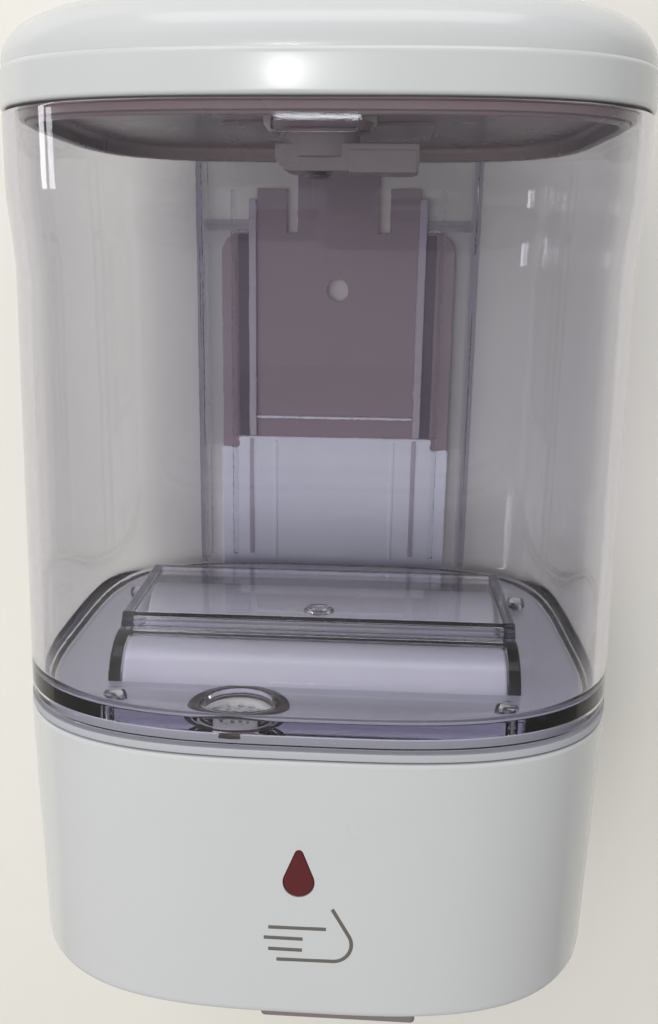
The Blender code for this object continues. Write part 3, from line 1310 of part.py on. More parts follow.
def build_spring(number, place, low):
    """Coil spring; its least gap between turns is its pitch less the wire."""
    steps = SPRING_TURNS * SPRING_POINTS_PER_TURN
    rise = SPRING_HEIGHT - 2 * SPRING_WIRE
    points = []
    for step in range(steps + 1):
        angle = 2 * math.pi * step / SPRING_POINTS_PER_TURN
        x = place[0] + SPRING_RADIUS * math.cos(angle)
        y = place[1] + SPRING_RADIUS * math.sin(angle)
        points.append((x, y, low + rise * step / steps))
    least_gap = rise / SPRING_TURNS - 2 * SPRING_WIRE
    print(f"spring {number}: least gap between turns {least_gap / MM:.2f} mm")
    painted(tube(f"battery_spring_{number}", points, SPRING_WIRE), "plated_steel")


def build_battery_door():
    door_top = BOTTOM_LOW + DOOR_THICKNESS
    door = centred_box(
        "battery_door", 0, DOOR_HALF_WIDTH,
        REAR_HUMP_DEPTH, DOOR_HALF_DEPTH, BOTTOM_LOW, door_top,
    )
    notch_start = (0, -REAR_HUMP_DEPTH - DOOR_HALF_DEPTH, BOTTOM_LOW - OVERRUN)
    cut(door, rod("door_notch", "Z", notch_start, DOOR_NOTCH_SINK + OVERRUN, DOOR_NOTCH_RADIUS))
    turn_about(door, (0, -REAR_HUMP_DEPTH, BOTTOM_LOW))
    painted(door, "white_shell")


def gear_outline(phase):
    """Involute tooth outline, thinned at the pitch circle by the backlash."""
    pitch = GEAR_MODULE * GEAR_TEETH / 2
    base = pitch * math.cos(GEAR_PRESSURE_ANGLE)
    tip = pitch + GEAR_MODULE
    root = pitch - 1.25 * GEAR_MODULE
    involute_at_pitch = math.tan(GEAR_PRESSURE_ANGLE) - GEAR_PRESSURE_ANGLE
    half_tooth = math.pi / (2 * GEAR_TEETH) - GEAR_BACKLASH / (2 * pitch) + involute_at_pitch
    flank = []
    for step in range(GEAR_FLANK_POINTS):
        radius = base + (tip - base) * step / (GEAR_FLANK_POINTS - 1)
        spread = math.acos(min(1.0, base / radius))
        flank.append((radius, half_tooth - (math.tan(spread) - spread)))
    points = []
    for tooth in range(GEAR_TEETH):
        centre = 2 * math.pi * tooth / GEAR_TEETH + phase
        rising = [(root, -half_tooth)] + [(radius, -angle) for radius, angle in flank]
        falling = [(radius, angle) for radius, angle in reversed(flank)] + [(root, half_tooth)]
        for radius, angle in rising + falling:
            points.append((radius * math.cos(centre + angle), radius * math.sin(centre + angle)))
    return points


def gear_spacing():
    return GEAR_MODULE * GEAR_TEETH + GEAR_SPREAD


def gear_left():
    return PUMP_LEFT + PUMP_END_WALL + CHAMBER_CLEARANCE


def circle(radius, count):
    return [
        (radius * math.cos(2 * math.pi * k / count), radius * math.sin(2 * math.pi * k / count))
        for k in range(count)
    ]


def build_gears():
    bore = circle(SHAFT_RADIUS + GAP / 2, FINE_SEGMENTS)
    centre_x = gear_left() + GEAR_LENGTH / 2
    tooth_half_pitch = math.pi / GEAR_TEETH
    towards_driven = math.radians(-90)
    places = (
        ("drive_gear", DRIVE_HEIGHT, towards_driven),
        ("driven_gear", DRIVE_HEIGHT - gear_spacing(), -towards_driven + tooth_half_pitch),
    )
    for name, height, phase in places:
        axis_point = (centre_x, -DRIVE_DEPTH, height)
        gear = slab(name, [gear_outline(phase), bore], ALONG_X, (0, 0, 0), GEAR_LENGTH)
        gear.location = axis_point
        painted(gear, "gear_plastic")


def pump_limits():
    """Depth and height limits of the pump body round its two chambers."""
    chamber = GEAR_MODULE * GEAR_TEETH / 2 + GEAR_MODULE + CHAMBER_CLEARANCE
    half_depth = chamber + PUMP_SIDE_WALL
    low = DRIVE_HEIGHT - gear_spacing() - half_depth
    high = DRIVE_HEIGHT + half_depth
    return chamber, half_depth, low, high


def pump_mouth():
    return gear_left() + GEAR_LENGTH + CHAMBER_CLEARANCE


def chamber_outline(radius):
    """Two round chambers that run into each other where the gears mesh."""
    waist = math.degrees(math.acos(gear_spacing() / 2 / radius))
    lower_height = DRIVE_HEIGHT - gear_spacing()
    quarter = math.degrees(math.pi / 2)
    upper = arc((-DRIVE_DEPTH, DRIVE_HEIGHT), radius, waist - quarter, 3 * quarter - waist, ROUND_SEGMENTS)
    lower = arc((-DRIVE_DEPTH, lower_height), radius, quarter + waist, 5 * quarter - waist, ROUND_SEGMENTS)
    return upper + lower[1:-1]


def build_pump():
    chamber, half_depth, low, high = pump_limits()
    mouth = pump_mouth()
    port_height = DRIVE_HEIGHT - gear_spacing() / 2
    middle_x = gear_left() + GEAR_LENGTH / 2
    body = box(
        "pump_body",
        (PUMP_LEFT, -DRIVE_DEPTH - half_depth, low),
        (mouth, -DRIVE_DEPTH + half_depth, high),
    )
    port_run = PORT_LENGTH + PUMP_SIDE_WALL / 2
    inlet_start = (middle_x, -DRIVE_DEPTH - half_depth - PORT_LENGTH, port_height)
    join(body, rod("pump_inlet", "Y", inlet_start, port_run, PORT_RADIUS, FINE_SEGMENTS))
    outlet_y = -DRIVE_DEPTH + OUTLET_PORT_SETBACK
    outlet_start = (middle_x, outlet_y, low - PORT_LENGTH)
    join(body, rod("pump_outlet", "Z", outlet_start, port_run, PORT_RADIUS, FINE_SEGMENTS))
    chamber_left = PUMP_LEFT + PUMP_END_WALL
    chamber_length = mouth - chamber_left + OVERRUN
    centre_x = chamber_left + chamber_length / 2
    cut(body, slab("pump_chamber", [chamber_outline(chamber)], ALONG_X, (centre_x, 0, 0), chamber_length))
    inlet_bore = (middle_x, -DRIVE_DEPTH - half_depth - PORT_LENGTH - OVERRUN, port_height)
    inlet_length = PORT_LENGTH + half_depth + OVERRUN
    cut(body, rod("pump_inlet_bore", "Y", inlet_bore, inlet_length, PORT_BORE, FINE_SEGMENTS))
    outlet_bore = (middle_x, outlet_y, low - PORT_LENGTH - OVERRUN)
    outlet_length = DRIVE_HEIGHT - gear_spacing() - low + PORT_LENGTH + OVERRUN
    cut(body, rod("pump_outlet_bore", "Z", outlet_bore, outlet_length, PORT_BORE, FINE_SEGMENTS))
    painted(body, "grey_plastic")
    cover = box(
        "pump_cover",
        (mouth + GAP, -DRIVE_DEPTH - half_depth, low),
        (mouth + GAP + PUMP_COVER_THICKNESS, -DRIVE_DEPTH + half_depth, high),
    )
    shaft_hole = (mouth, -DRIVE_DEPTH, DRIVE_HEIGHT)
    hole_length = PUMP_COVER_THICKNESS + OVERRUN
    cut(cover, rod("cover_shaft_hole", "X", shaft_hole, hole_length, SHAFT_RADIUS + GAP, FINE_SEGMENTS))
    painted(cover, "grey_plastic")
    pin_start = (chamber_left + GAP, -DRIVE_DEPTH, DRIVE_HEIGHT - gear_spacing())
    pin_length = mouth - chamber_left - GAP
    painted(rod("driven_gear_pin", "X", pin_start, pin_length, SHAFT_RADIUS, FINE_SEGMENTS), "bright_metal")


def build_motor():
    axis = (-DRIVE_DEPTH, DRIVE_HEIGHT)
    can = rod("motor_can", "X", (MOTOR_LEFT, *axis), MOTOR_LENGTH, MOTOR_RADIUS)
    reach = MOTOR_RADIUS + OVERRUN
    for label, side in (("low", -1), ("high", 1)):
        limits = sorted((side * MOTOR_HALF_HEIGHT, side * reach))
        flat = box(
            f"motor_flat_{label}",
            (MOTOR_LEFT - OVERRUN, -DRIVE_DEPTH - reach, DRIVE_HEIGHT + limits[0]),
            (MOTOR_LEFT + MOTOR_LENGTH + OVERRUN, -DRIVE_DEPTH + reach, DRIVE_HEIGHT + limits[1]),
        )
        cut(can, flat)
    hole_start = (MOTOR_LEFT - OVERRUN, *axis)
    hole_length = SHAFT_INTO_MOTOR + OVERRUN + GAP
    cut(can, rod("motor_hole", "X", hole_start, hole_length, SHAFT_RADIUS + GAP, FINE_SEGMENTS))
    painted(can, "plated_steel")
    cap_start = (MOTOR_LEFT + MOTOR_LENGTH + GAP, *axis)
    painted(rod("motor_end_cap", "X", cap_start, MOTOR_CAP_THICKNESS, MOTOR_CAP_RADIUS), "black_plastic")
    shaft_start = (gear_left(), *axis)
    shaft_length = MOTOR_LEFT + SHAFT_INTO_MOTOR - gear_left()
    shaft = rod("motor_shaft", "X", shaft_start, shaft_length, SHAFT_RADIUS, FINE_SEGMENTS)
    painted(turn_about(shaft, shaft_start), "bright_metal")


def build_motor_cradle():
    """Saddle under the motor: its front leg stands on the nozzle flange, its rear leg on the bottom."""
    half_length = CRADLE_LENGTH / 2
    centre_x = MOTOR_LEFT + MOTOR_LENGTH / 2
    low = BOTTOM_TOP + HOUSING_FLANGE_THICKNESS + 2 * GAP
    cradle = centred_box(
        "motor_cradle", centre_x, half_length,
        DRIVE_DEPTH, CRADLE_HALF_DEPTH, low, DRIVE_HEIGHT,
    )
    saddle_start = (centre_x - half_length - OVERRUN, -DRIVE_DEPTH, DRIVE_HEIGHT)
    cut(cradle, rod("cradle_saddle", "X", saddle_start, CRADLE_LENGTH + 2 * OVERRUN, MOTOR_RADIUS + GAP))
    saddle_low = DRIVE_HEIGHT - MOTOR_RADIUS - GAP
    tunnel = centred_box(
        "cradle_tunnel", centre_x, half_length + OVERRUN, DRIVE_DEPTH,
        CRADLE_HALF_DEPTH - CRADLE_WALL, low - OVERRUN, saddle_low - CRADLE_ROOF,
    )
    cut(cradle, tunnel)
    foot = centred_box(
        "cradle_foot", centre_x, half_length - OVERRUN, DRIVE_DEPTH - CRADLE_HALF_DEPTH + CRADLE_WALL / 2,
        CRADLE_WALL / 2 - CRADLE_FOOT_INSET, CASE_LOW, low + CRADLE_WALL,
    )
    join(cradle, foot)
    painted(cradle, "grey_plastic")


def build_plumbing():
    _, half_depth, pump_low, _ = pump_limits()
    port_height = DRIVE_HEIGHT - gear_spacing() / 2
    middle_x = gear_left() + GEAR_LENGTH / 2
    cup_top = SPIGOT_LOW - GAP
    cup = turned("inlet_cup", [
        (CUP_RADIUS - CUP_WALL, cup_top),
        (CUP_RADIUS, cup_top),
        (CUP_RADIUS, CUP_LOW),
        (0, CUP_LOW),
        (0, CUP_LOW + CUP_WALL),
        (CUP_RADIUS - CUP_WALL, CUP_LOW + CUP_WALL),
    ], (OUTLET_X, -OUTLET_DEPTH, 0))
    pump_front = -DRIVE_DEPTH - half_depth
    port_end = pump_front - PORT_LENGTH - GAP
    cup_port = rod("cup_port", "Y", (middle_x, -OUTLET_DEPTH + CUP_RADIUS / 2, port_height),
                   port_end + OUTLET_DEPTH - CUP_RADIUS / 2, PORT_RADIUS, FINE_SEGMENTS)
    join(cup, cup_port)
    inside = rod("cup_inside", "Z", (OUTLET_X, -OUTLET_DEPTH, CUP_LOW + CUP_WALL),
                 cup_top - CUP_LOW, CUP_RADIUS - CUP_WALL)
    cut(cup, inside)
    bore_start = (middle_x, -OUTLET_DEPTH, port_height)
    bore_length = OUTLET_DEPTH + port_end + OVERRUN
    cut(cup, rod("cup_port_bore", "Y", bore_start, bore_length, PORT_BORE, FINE_SEGMENTS))
    painted(cup, "grey_plastic")
    cup_face = -OUTLET_DEPTH + CUP_RADIUS + GAP
    sleeve_length = pump_front - GAP - cup_face
    sleeve = rod("inlet_sleeve", "Y", (middle_x, cup_face, port_height), sleeve_length, SLEEVE_RADIUS)
    sleeve_bore = rod("sleeve_bore", "Y", (middle_x, cup_face - OVERRUN, port_height),
                      sleeve_length + 2 * OVERRUN, PORT_RADIUS + GAP, FINE_SEGMENTS)
    cut(sleeve, sleeve_bore)
    painted(sleeve, "soft_silicone")
    build_outlet_tube(middle_x, pump_low)


def build_outlet_tube(middle_x, pump_low):
    """Soft tube: straight over each port, with two even bends and a level run between them."""
    start = Vector((middle_x, -DRIVE_DEPTH + OUTLET_PORT_SETBACK, pump_low - GAP))
    end = Vector((NOZZLE_X, -NOZZLE_DEPTH, NOZZLE_TOP - TUBE_ENGAGE))
    bend = (start.z - end.z) / 2 - TUBE_ENGAGE
    level = Vector((end.x - start.x, end.y - start.y, 0)).normalized()
    down = Vector((0, 0, -1))
    route = [start]
    quarter = [math.pi / 2 * step / (TUBE_BEND_POINTS - 1) for step in range(TUBE_BEND_POINTS)]
    for angle in quarter:
        sink = down * (TUBE_ENGAGE + bend * math.sin(angle))
        route.append(start + sink + level * bend * (1 - math.cos(angle)))
    for angle in quarter:
        rise = -down * (TUBE_ENGAGE + bend * math.cos(angle))
        route.append(end + rise - level * bend * (1 - math.sin(angle)))
    route.append(end)
    hose = tube("outlet_tube", route, TUBE_RADIUS)
    overrun = down * OVERRUN
    cut(hose, tube("outlet_tube_bore", [start - overrun, *route[1:-1], end + overrun], TUBE_BORE))
    painted(hose, "soft_silicone")


def rounded_rectangle(left, right, front, rear, corner):
    """Plan outline with rounded corners."""
    points = arc((right - corner, rear - corner), corner, 0, 90, 5)
    points += arc((left + corner, rear - corner), corner, 90, 180, 5)
    points += arc((left + corner, front + corner), corner, 180, 270, 5)
    points += arc((right - corner, front + corner), corner, 270, 360, 5)
    return points


def build_nozzle_housing():
    plan = rounded_rectangle(HOUSING_LEFT, HOUSING_RIGHT, -HOUSING_FRONT, -HOUSING_REAR, HOUSING_CORNER)
    top = BOTTOM_TOP + GAP + HOUSING_FLANGE_THICKNESS
    housing = slab("nozzle_housing", [plan], FLAT, (0, 0, (HOUSING_LOW + top) / 2), top - HOUSING_LOW)
    flange = rounded_rectangle(
        HOUSING_LEFT - HOUSING_FLANGE, HOUSING_RIGHT + HOUSING_FLANGE,
        -HOUSING_FRONT - HOUSING_FLANGE, -HOUSING_REAR + HOUSING_FLANGE, HOUSING_CORNER,
    )
    flange_centre = (0, 0, top - HOUSING_FLANGE_THICKNESS / 2)
    join(housing, slab("housing_flange", [flange], FLAT, flange_centre, HOUSING_FLANGE_THICKNESS))
    hollow = rounded_rectangle(
        HOUSING_LEFT + HOUSING_WALL, HOUSING_RIGHT - HOUSING_WALL,
        -HOUSING_FRONT + HOUSING_WALL, -HOUSING_REAR - HOUSING_WALL, HOUSING_CORNER - HOUSING_WALL,
    )
    floor = HOUSING_LOW + HOUSING_WALL
    hollow_height = top - floor + OVERRUN
    cut(housing, slab("housing_hollow", [hollow], FLAT, (0, 0, floor + hollow_height / 2), hollow_height))
    hole_start = (NOZZLE_X, -NOZZLE_DEPTH, HOUSING_LOW - OVERRUN)
    hole_length = HOUSING_WALL + 2 * OVERRUN
    cut(housing, rod("housing_nozzle_hole", "Z", hole_start, hole_length, NOZZLE_RADIUS + GAP))
    window = centred_box(
        "housing_window", SENSOR_X, SENSOR_HALF_WIDTH + GAP, NOZZLE_DEPTH, SENSOR_HALF_DEPTH + GAP,
        HOUSING_LOW - OVERRUN, floor + OVERRUN,
    )
    cut(housing, window)
    painted(housing, "grey_plastic")


def build_nozzle_and_sensor():
    floor = HOUSING_LOW + HOUSING_WALL
    nozzle = turned("nozzle_tip", [
        (NOZZLE_BORE, NOZZLE_TOP),
        (NOZZLE_BARB, NOZZLE_TOP - NOZZLE_BORE),
        (NOZZLE_BARB, floor + GAP + NOZZLE_FLANGE_THICKNESS + NOZZLE_BARB),
        (NOZZLE_RADIUS, floor + GAP + NOZZLE_FLANGE_THICKNESS),
        (NOZZLE_FLANGE_RADIUS, floor + GAP + NOZZLE_FLANGE_THICKNESS),
        (NOZZLE_FLANGE_RADIUS, floor + GAP),
        (NOZZLE_RADIUS, floor + GAP),
        (NOZZLE_RADIUS, HOUSING_LOW),
        (NOZZLE_BORE, HOUSING_LOW),
    ], (NOZZLE_X, -NOZZLE_DEPTH, 0), ROUND_SEGMENTS)
    painted(nozzle, "soft_silicone")
    window_low = HOUSING_LOW + GAP
    window = centred_box(
        "sensor_window", SENSOR_X, SENSOR_HALF_WIDTH, NOZZLE_DEPTH, SENSOR_HALF_DEPTH,
        window_low, window_low + SENSOR_WINDOW_THICKNESS,
    )
    painted(window, "sensor_window")
    board = centred_box(
        "sensor_board", SENSOR_X, SENSOR_BOARD_HALF_WIDTH, NOZZLE_DEPTH, SENSOR_BOARD_HALF_DEPTH,
        SENSOR_BOARD_LOW, SENSOR_BOARD_LOW + BOARD_THICKNESS,
    )
    painted(board, "board_green")
    eye_low = SENSOR_BOARD_LOW - GAP - EYE_LENGTH
    for name, side in (("ir_emitter", -1), ("ir_receiver", 1)):
        start = (SENSOR_X + side * EYE_SPACING / 2, -NOZZLE_DEPTH, eye_low)
        painted(rod(name, "Z", start, EYE_LENGTH, EYE_RADIUS, FINE_SEGMENTS), "black_plastic")


def build_boards():
    board = box(
        "main_board",
        (-BOARD_HALF_WIDTH, -BOARD_DEPTH - BOARD_THICKNESS, BOARD_LOW),
        (BOARD_HALF_WIDTH, -BOARD_DEPTH, BOARD_TOP),
    )
    painted(board, "board_green")
    led_start = (DROP_X, -BOARD_DEPTH - BOARD_THICKNESS - GAP - LED_LENGTH, DROP_CENTRE)
    painted(rod("indicator_led", "Y", led_start, LED_LENGTH, LED_RADIUS, FINE_SEGMENTS), "red_lens")
    painted(drop_slab("drop_lens", 0, LENS_SINK, LENS_THICKNESS), "red_lens")


def build_switch():
    slot_half_width = KNOB_HALF_WIDTH + GAP
    body_low = BOTTOM_TOP + GAP
    body = centred_box(
        "switch_body", SWITCH_X, SWITCH_HALF_LENGTH,
        SWITCH_DEPTH, SWITCH_HALF_WIDTH, body_low, body_low + SWITCH_HEIGHT,
    )
    slot = centred_box(
        "switch_slot", SWITCH_X, SWITCH_SLOT_HALF, SWITCH_DEPTH, slot_half_width,
        body_low - OVERRUN, body_low + SWITCH_SLOT_DEPTH,
    )
    cut(body, slot)
    painted(body, "black_plastic")
    knob_x = SWITCH_X - KNOB_TRAVEL / 2
    knob = centred_box(
        "switch_knob", knob_x, KNOB_HALF_LENGTH, SWITCH_DEPTH, KNOB_HALF_WIDTH,
        KNOB_LOW, body_low + SWITCH_SLOT_DEPTH - GAP,
    )
    painted(turn_about(knob, (knob_x, -SWITCH_DEPTH, KNOB_LOW)), "black_plastic")


build_wall_plate()
build_back_cover()
build_tank()
build_tank_screws()
build_outlet_pieces()
build_deck()
build_base_shell()
build_base_bottom()
build_base_screws()
build_lid_shell()
build_hinge_pins()
build_lid_liner()
build_lock()
build_battery_case()
build_contacts()
build_cells_and_springs()
build_battery_door()
build_gears()
build_pump()
build_motor()
build_motor_cradle()
build_plumbing()
build_nozzle_housing()
build_nozzle_and_sensor()
build_boards()
build_switch()
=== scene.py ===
import json
import math

import bmesh
import bpy
from mathutils import Matrix, Vector


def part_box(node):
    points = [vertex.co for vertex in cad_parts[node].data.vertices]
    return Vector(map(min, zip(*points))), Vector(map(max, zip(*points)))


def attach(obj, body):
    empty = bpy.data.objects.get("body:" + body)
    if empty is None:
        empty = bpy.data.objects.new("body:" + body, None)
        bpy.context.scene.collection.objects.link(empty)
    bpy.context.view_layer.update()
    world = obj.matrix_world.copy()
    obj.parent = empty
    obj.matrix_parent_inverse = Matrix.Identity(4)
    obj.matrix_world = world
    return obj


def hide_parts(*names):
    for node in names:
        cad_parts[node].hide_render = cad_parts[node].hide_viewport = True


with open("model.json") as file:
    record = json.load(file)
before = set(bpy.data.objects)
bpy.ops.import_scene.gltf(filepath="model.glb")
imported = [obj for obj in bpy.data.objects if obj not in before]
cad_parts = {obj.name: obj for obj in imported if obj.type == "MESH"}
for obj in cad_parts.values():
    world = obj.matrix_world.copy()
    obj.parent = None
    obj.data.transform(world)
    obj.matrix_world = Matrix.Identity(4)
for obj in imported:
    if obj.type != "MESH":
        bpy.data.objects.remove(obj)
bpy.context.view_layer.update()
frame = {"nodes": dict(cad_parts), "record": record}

# Sizes are written in millimetres. Heights start 1.5 above the base's lower edge, depths at the wall.
MM = 0.001
BASE_TO_ORIGIN = 118.0
WELD = 0.000002
OUTLINE_STEPS = 192

# The body's plan outline: half widths and depths at its foot, seam and top
BASE_LOW = -1.5
SEAM_HEIGHT = 52.4
TOP_HEIGHT = 172.7
BASE_RISE = SEAM_HEIGHT - BASE_LOW
BASE_HALF_WIDTH, SEAM_HALF_WIDTH, TOP_HALF_WIDTH = 62.8, 64.8, 65.0
BASE_DEPTH, SEAM_DEPTH, TOP_DEPTH = 131.0, 126.0, 120.0
WIDEST_DEPTH = 69.6
BACK_DEPTH = 5.2
FRONT_POWER = 3.2
REAR_POWER = 3.7

# Places that several pieces share
OUTLET = (-14.5, -111.5)
NOZZLE = (0, -113.0)
LOCK = (0, -98.0)
HINGE_X = 24.0
HINGE = (-7.2, 176.0)
TANK_SCREWS = [(side * x, y) for x, y in ((50.5, -44.5), (39.5, -113.2)) for side in (-1, 1)]
BASE_SCREWS = ((-56.6, -60.0), (56.6, -60.0))
MOTOR = (-92.5, 44.5)
FRONT_HUMP = (92.5, 55.3)
REAR_HUMP = (67.0, 54.0)
PLATE_HALF_WIDTH = 33.0
PLATE_LOW = 84.0
PLATE_TOP = 152.0
TANK_WALL = 2.4

AXIS = {
    "X": Matrix.Rotation(math.radians(90), 4, "Y"),
    "Y": Matrix.Rotation(math.radians(-90), 4, "X"),
    "Z": Matrix.Identity(4),
}
UPRIGHT = Matrix.Rotation(math.radians(90), 4, "X")
ALONG_X = Matrix.Rotation(math.radians(90), 4, "Z") @ Matrix.Rotation(math.radians(90), 4, "X")
FLAT = Matrix.Identity(4)


# Node groups and materials

def new_group(name, inputs, outputs):
    """Node group from inputs with their usual values and outputs; a tuple makes a colour."""
    group = bpy.data.node_groups.new(name, "ShaderNodeTree")
    for in_out, entries in (("INPUT", inputs), ("OUTPUT", outputs)):
        for label, value in entries.items():
            kind = "NodeSocketColor" if isinstance(value, tuple) else "NodeSocketFloat"
            group.interface.new_socket(name=label, in_out=in_out, socket_type=kind).default_value = value
    start = group.nodes.new("NodeGroupInput")
    end = group.nodes.new("NodeGroupOutput")
    return group, start, end


def adjust(node, **settings):
    """Set a node; each setting names one of its inputs, or else one of its properties."""
    for key, value in settings.items():
        label = key.replace("_", " ")
        if label in node.inputs:
            node.inputs[label].default_value = value
        else:
            setattr(node, key, value)
    return node


def add(tree, kind, **settings):
    """New shader node of a kind, such as Math."""
    return adjust(tree.nodes.new("ShaderNode" + kind), **settings)


def link(tree, *rows):
    """Join nodes, each row an output's node and label and an input's node and label."""
    for source, output, target, entry in rows:
        tree.links.new(source.outputs[output], target.inputs[entry])


def make_moulded_surface():
    """Moulded plastic: fine grain, soft waviness, handling marks and a little dust."""
    t, start, end = new_group("moulded surface", {
        "Colour": (0.5, 0.5, 0.5, 1), "Second Colour": (0.45, 0.45, 0.45, 1),
        "Roughness Low": 0.2, "Roughness High": 0.35, "Grain Scale": 2500.0, "Grain Amount": 0.3,
        "Wave Amount": 0.5, "Scratch Amount": 0.3,
    }, {"Colour": (0, 0, 0, 1), "Roughness": 0.0, "Height": 0.0})
    coords = add(t, "TexCoord")
    wave = add(t, "TexNoise", Scale=14.0, Detail=2.0)
    smudge = add(t, "TexNoise", Scale=42.0, Detail=3.0, Roughness=0.5)
    grain = add(t, "TexNoise", Detail=2.0)
    stretched = add(t, "Mapping", Scale=(260.0, 260.0, 22.0), Rotation=(0.5, 0.35, 0.2))
    scratch = add(t, "TexNoise", Scale=1.0, Detail=3.0)
    scratch_mask = add(t, "MapRange", From_Min=0.66, From_Max=0.74)
    smudge_mask = add(t, "MapRange", From_Min=0.15, From_Max=0.9)
    colour = add(t, "Mix", data_type="RGBA")
    rough = add(t, "Mix", data_type="FLOAT")
    scuffed = add(t, "Math", operation="MULTIPLY")
    rough_sum = add(t, "Math", operation="MULTIPLY_ADD", use_clamp=True)
    rough_sum.inputs[1].default_value = 0.25
    grain_height = add(t, "Math", operation="MULTIPLY")
    wave_height = add(t, "Math", operation="MULTIPLY_ADD")
    height = add(t, "Math", operation="SUBTRACT")
    link(
        t,
        *[(coords, "Object", node, "Vector") for node in (wave, smudge, grain, stretched)],
        (start, "Grain Scale", grain, "Scale"),
        (stretched, "Vector", scratch, "Vector"),
        (scratch, "Fac", scratch_mask, "Value"),
        (smudge, "Fac", smudge_mask, "Value"),
        (smudge_mask, "Result", colour, "Factor"),
        (start, "Colour", colour, 6),
        (start, "Second Colour", colour, 7),
        (colour, 2, end, "Colour"),
        (smudge_mask, "Result", rough, "Factor"),
        (start, "Roughness Low", rough, 2),
        (start, "Roughness High", rough, 3),
        (scratch_mask, "Result", scuffed, 0),
        (start, "Scratch Amount", scuffed, 1),
        (scuffed, 0, rough_sum, 0),
        (rough, 0, rough_sum, 2),
        (rough_sum, 0, end, "Roughness"),
        (grain, "Fac", grain_height, 0),
        (start, "Grain Amount", grain_height, 1),
        (wave, "Fac", wave_height, 0),
        (start, "Wave Amount", wave_height, 1),
        (grain_height, 0, wave_height, 2),
        (wave_height, 0, height, 0),
        (scuffed, 0, height, 1),
        (height, 0, end, "Height"),
    )
    return t


def make_edge_wear():
    """Mask of worn corners, from the difference between the true and a rounded normal."""
    t, start, end = new_group("worn corners", {"Radius": 0.0004, "Amount": 0.5}, {"Mask": 0.0})
    bevel = add(t, "Bevel", samples=4)
    geometry = add(t, "NewGeometry")
    dot = add(t, "VectorMath", operation="DOT_PRODUCT")
    spread = add(t, "MapRange", From_Min=0.995, From_Max=0.86)
    coords = add(t, "TexCoord")
    noise = add(t, "TexNoise", Scale=700.0, Detail=4.0)
    broken = add(t, "Math", operation="MULTIPLY")
    amount = add(t, "Math", operation="MULTIPLY", use_clamp=True)
    link(
        t,
        (start, "Radius", bevel, "Radius"),
        (bevel, "Normal", dot, 0),
        (geometry, "Normal", dot, 1),
        (dot, "Value", spread, "Value"),
        (coords, "Object", noise, "Vector"),
        (spread, "Result", broken, 0),
        (noise, "Fac", broken, 1),
        (broken, 0, amount, 0),
        (start, "Amount", amount, 1),
        (amount, 0, end, "Mask"),
    )
    return t


MOULDED = make_moulded_surface()
WORN = make_edge_wear()


def shade(colour, share):
    return tuple(c * share for c in colour)


def blank_material(name):
    material = bpy.data.materials.new(name)
    material.use_nodes = True
    return material, material.node_tree, material.node_tree.nodes["Principled BSDF"]


def new_material(name, bump, strength=1.0, **surface_settings):
    """Material with the moulded surface's roughness and relief on its shader."""
    material, t, shader = blank_material(name)
    surface = add(t, "Group", node_tree=MOULDED, **surface_settings)
    relief = add(t, "Bump", Strength=strength, Distance=bump)
    link(
        t,
        (surface, "Roughness", shader, "Roughness"),
        (surface, "Height", relief, "Height"),
        (relief, "Normal", shader, "Normal"),
    )
    return material, t, shader, surface


def plastic(name, colour, low, high, grain=(2500.0, 0.3), wave=0.5, scratch=0.3, metallic=0.0,
            coat=0.0, coat_roughness=0.05, wear=0.25, second=None, specular=0.5):
    """Finish of a moulded, pressed or turned piece."""
    material, t, shader, surface = new_material(
        name, 0.00004, Colour=(*colour, 1), Second_Colour=(*(second or shade(colour, 0.94)), 1),
        Roughness_Low=low, Roughness_High=high, Grain_Scale=grain[0], Grain_Amount=grain[1],
        Wave_Amount=wave, Scratch_Amount=scratch,
    )
    worn = add(t, "Group", node_tree=WORN, Amount=wear)
    rubbed = add(t, "Mix", data_type="RGBA")
    rubbed.inputs[7].default_value = (*[min(1.0, c * 1.15 + 0.03) for c in colour], 1)
    link(
        t,
        (worn, "Mask", rubbed, "Factor"),
        (surface, "Colour", rubbed, 6),
        (rubbed, 2, shader, "Base Color"),
    )
    adjust(shader, Metallic=metallic, Coat_Weight=coat, Coat_Roughness=coat_roughness,
           Specular_IOR_Level=specular)
    return material


def clear_plastic(name, haze, absorb, density):
    """Clear moulded plastic: faint waviness, light haze and a tint that gathers in thick edges."""
    colour = (0.99, 0.99, 0.99)
    material, t, shader, surface = new_material(
        name, 0.00013, 0.5, Colour=(*colour, 1), Second_Colour=(*shade(colour, 0.985), 1),
        Roughness_Low=0.0, Roughness_High=haze, Grain_Amount=0.02, Wave_Amount=1.0, Scratch_Amount=0.03,
    )
    adjust(shader, Transmission_Weight=1.0, IOR=1.49)
    output = t.nodes["Material Output"]
    path = add(t, "LightPath")
    through = add(t, "BsdfTransparent", Color=(0.985, 0.98, 0.99, 1))
    chooser = add(t, "MixShader")
    volume = add(t, "VolumeAbsorption", Color=(*absorb, 1), Density=density)
    link(
        t,
        (surface, "Colour", shader, "Base Color"),
        (path, "Is Shadow Ray", chooser, 0),
        (shader, 0, chooser, 1),
        (through, 0, chooser, 2),
        (chooser, 0, output, "Surface"),
        (volume, 0, output, "Volume"),
    )
    return material


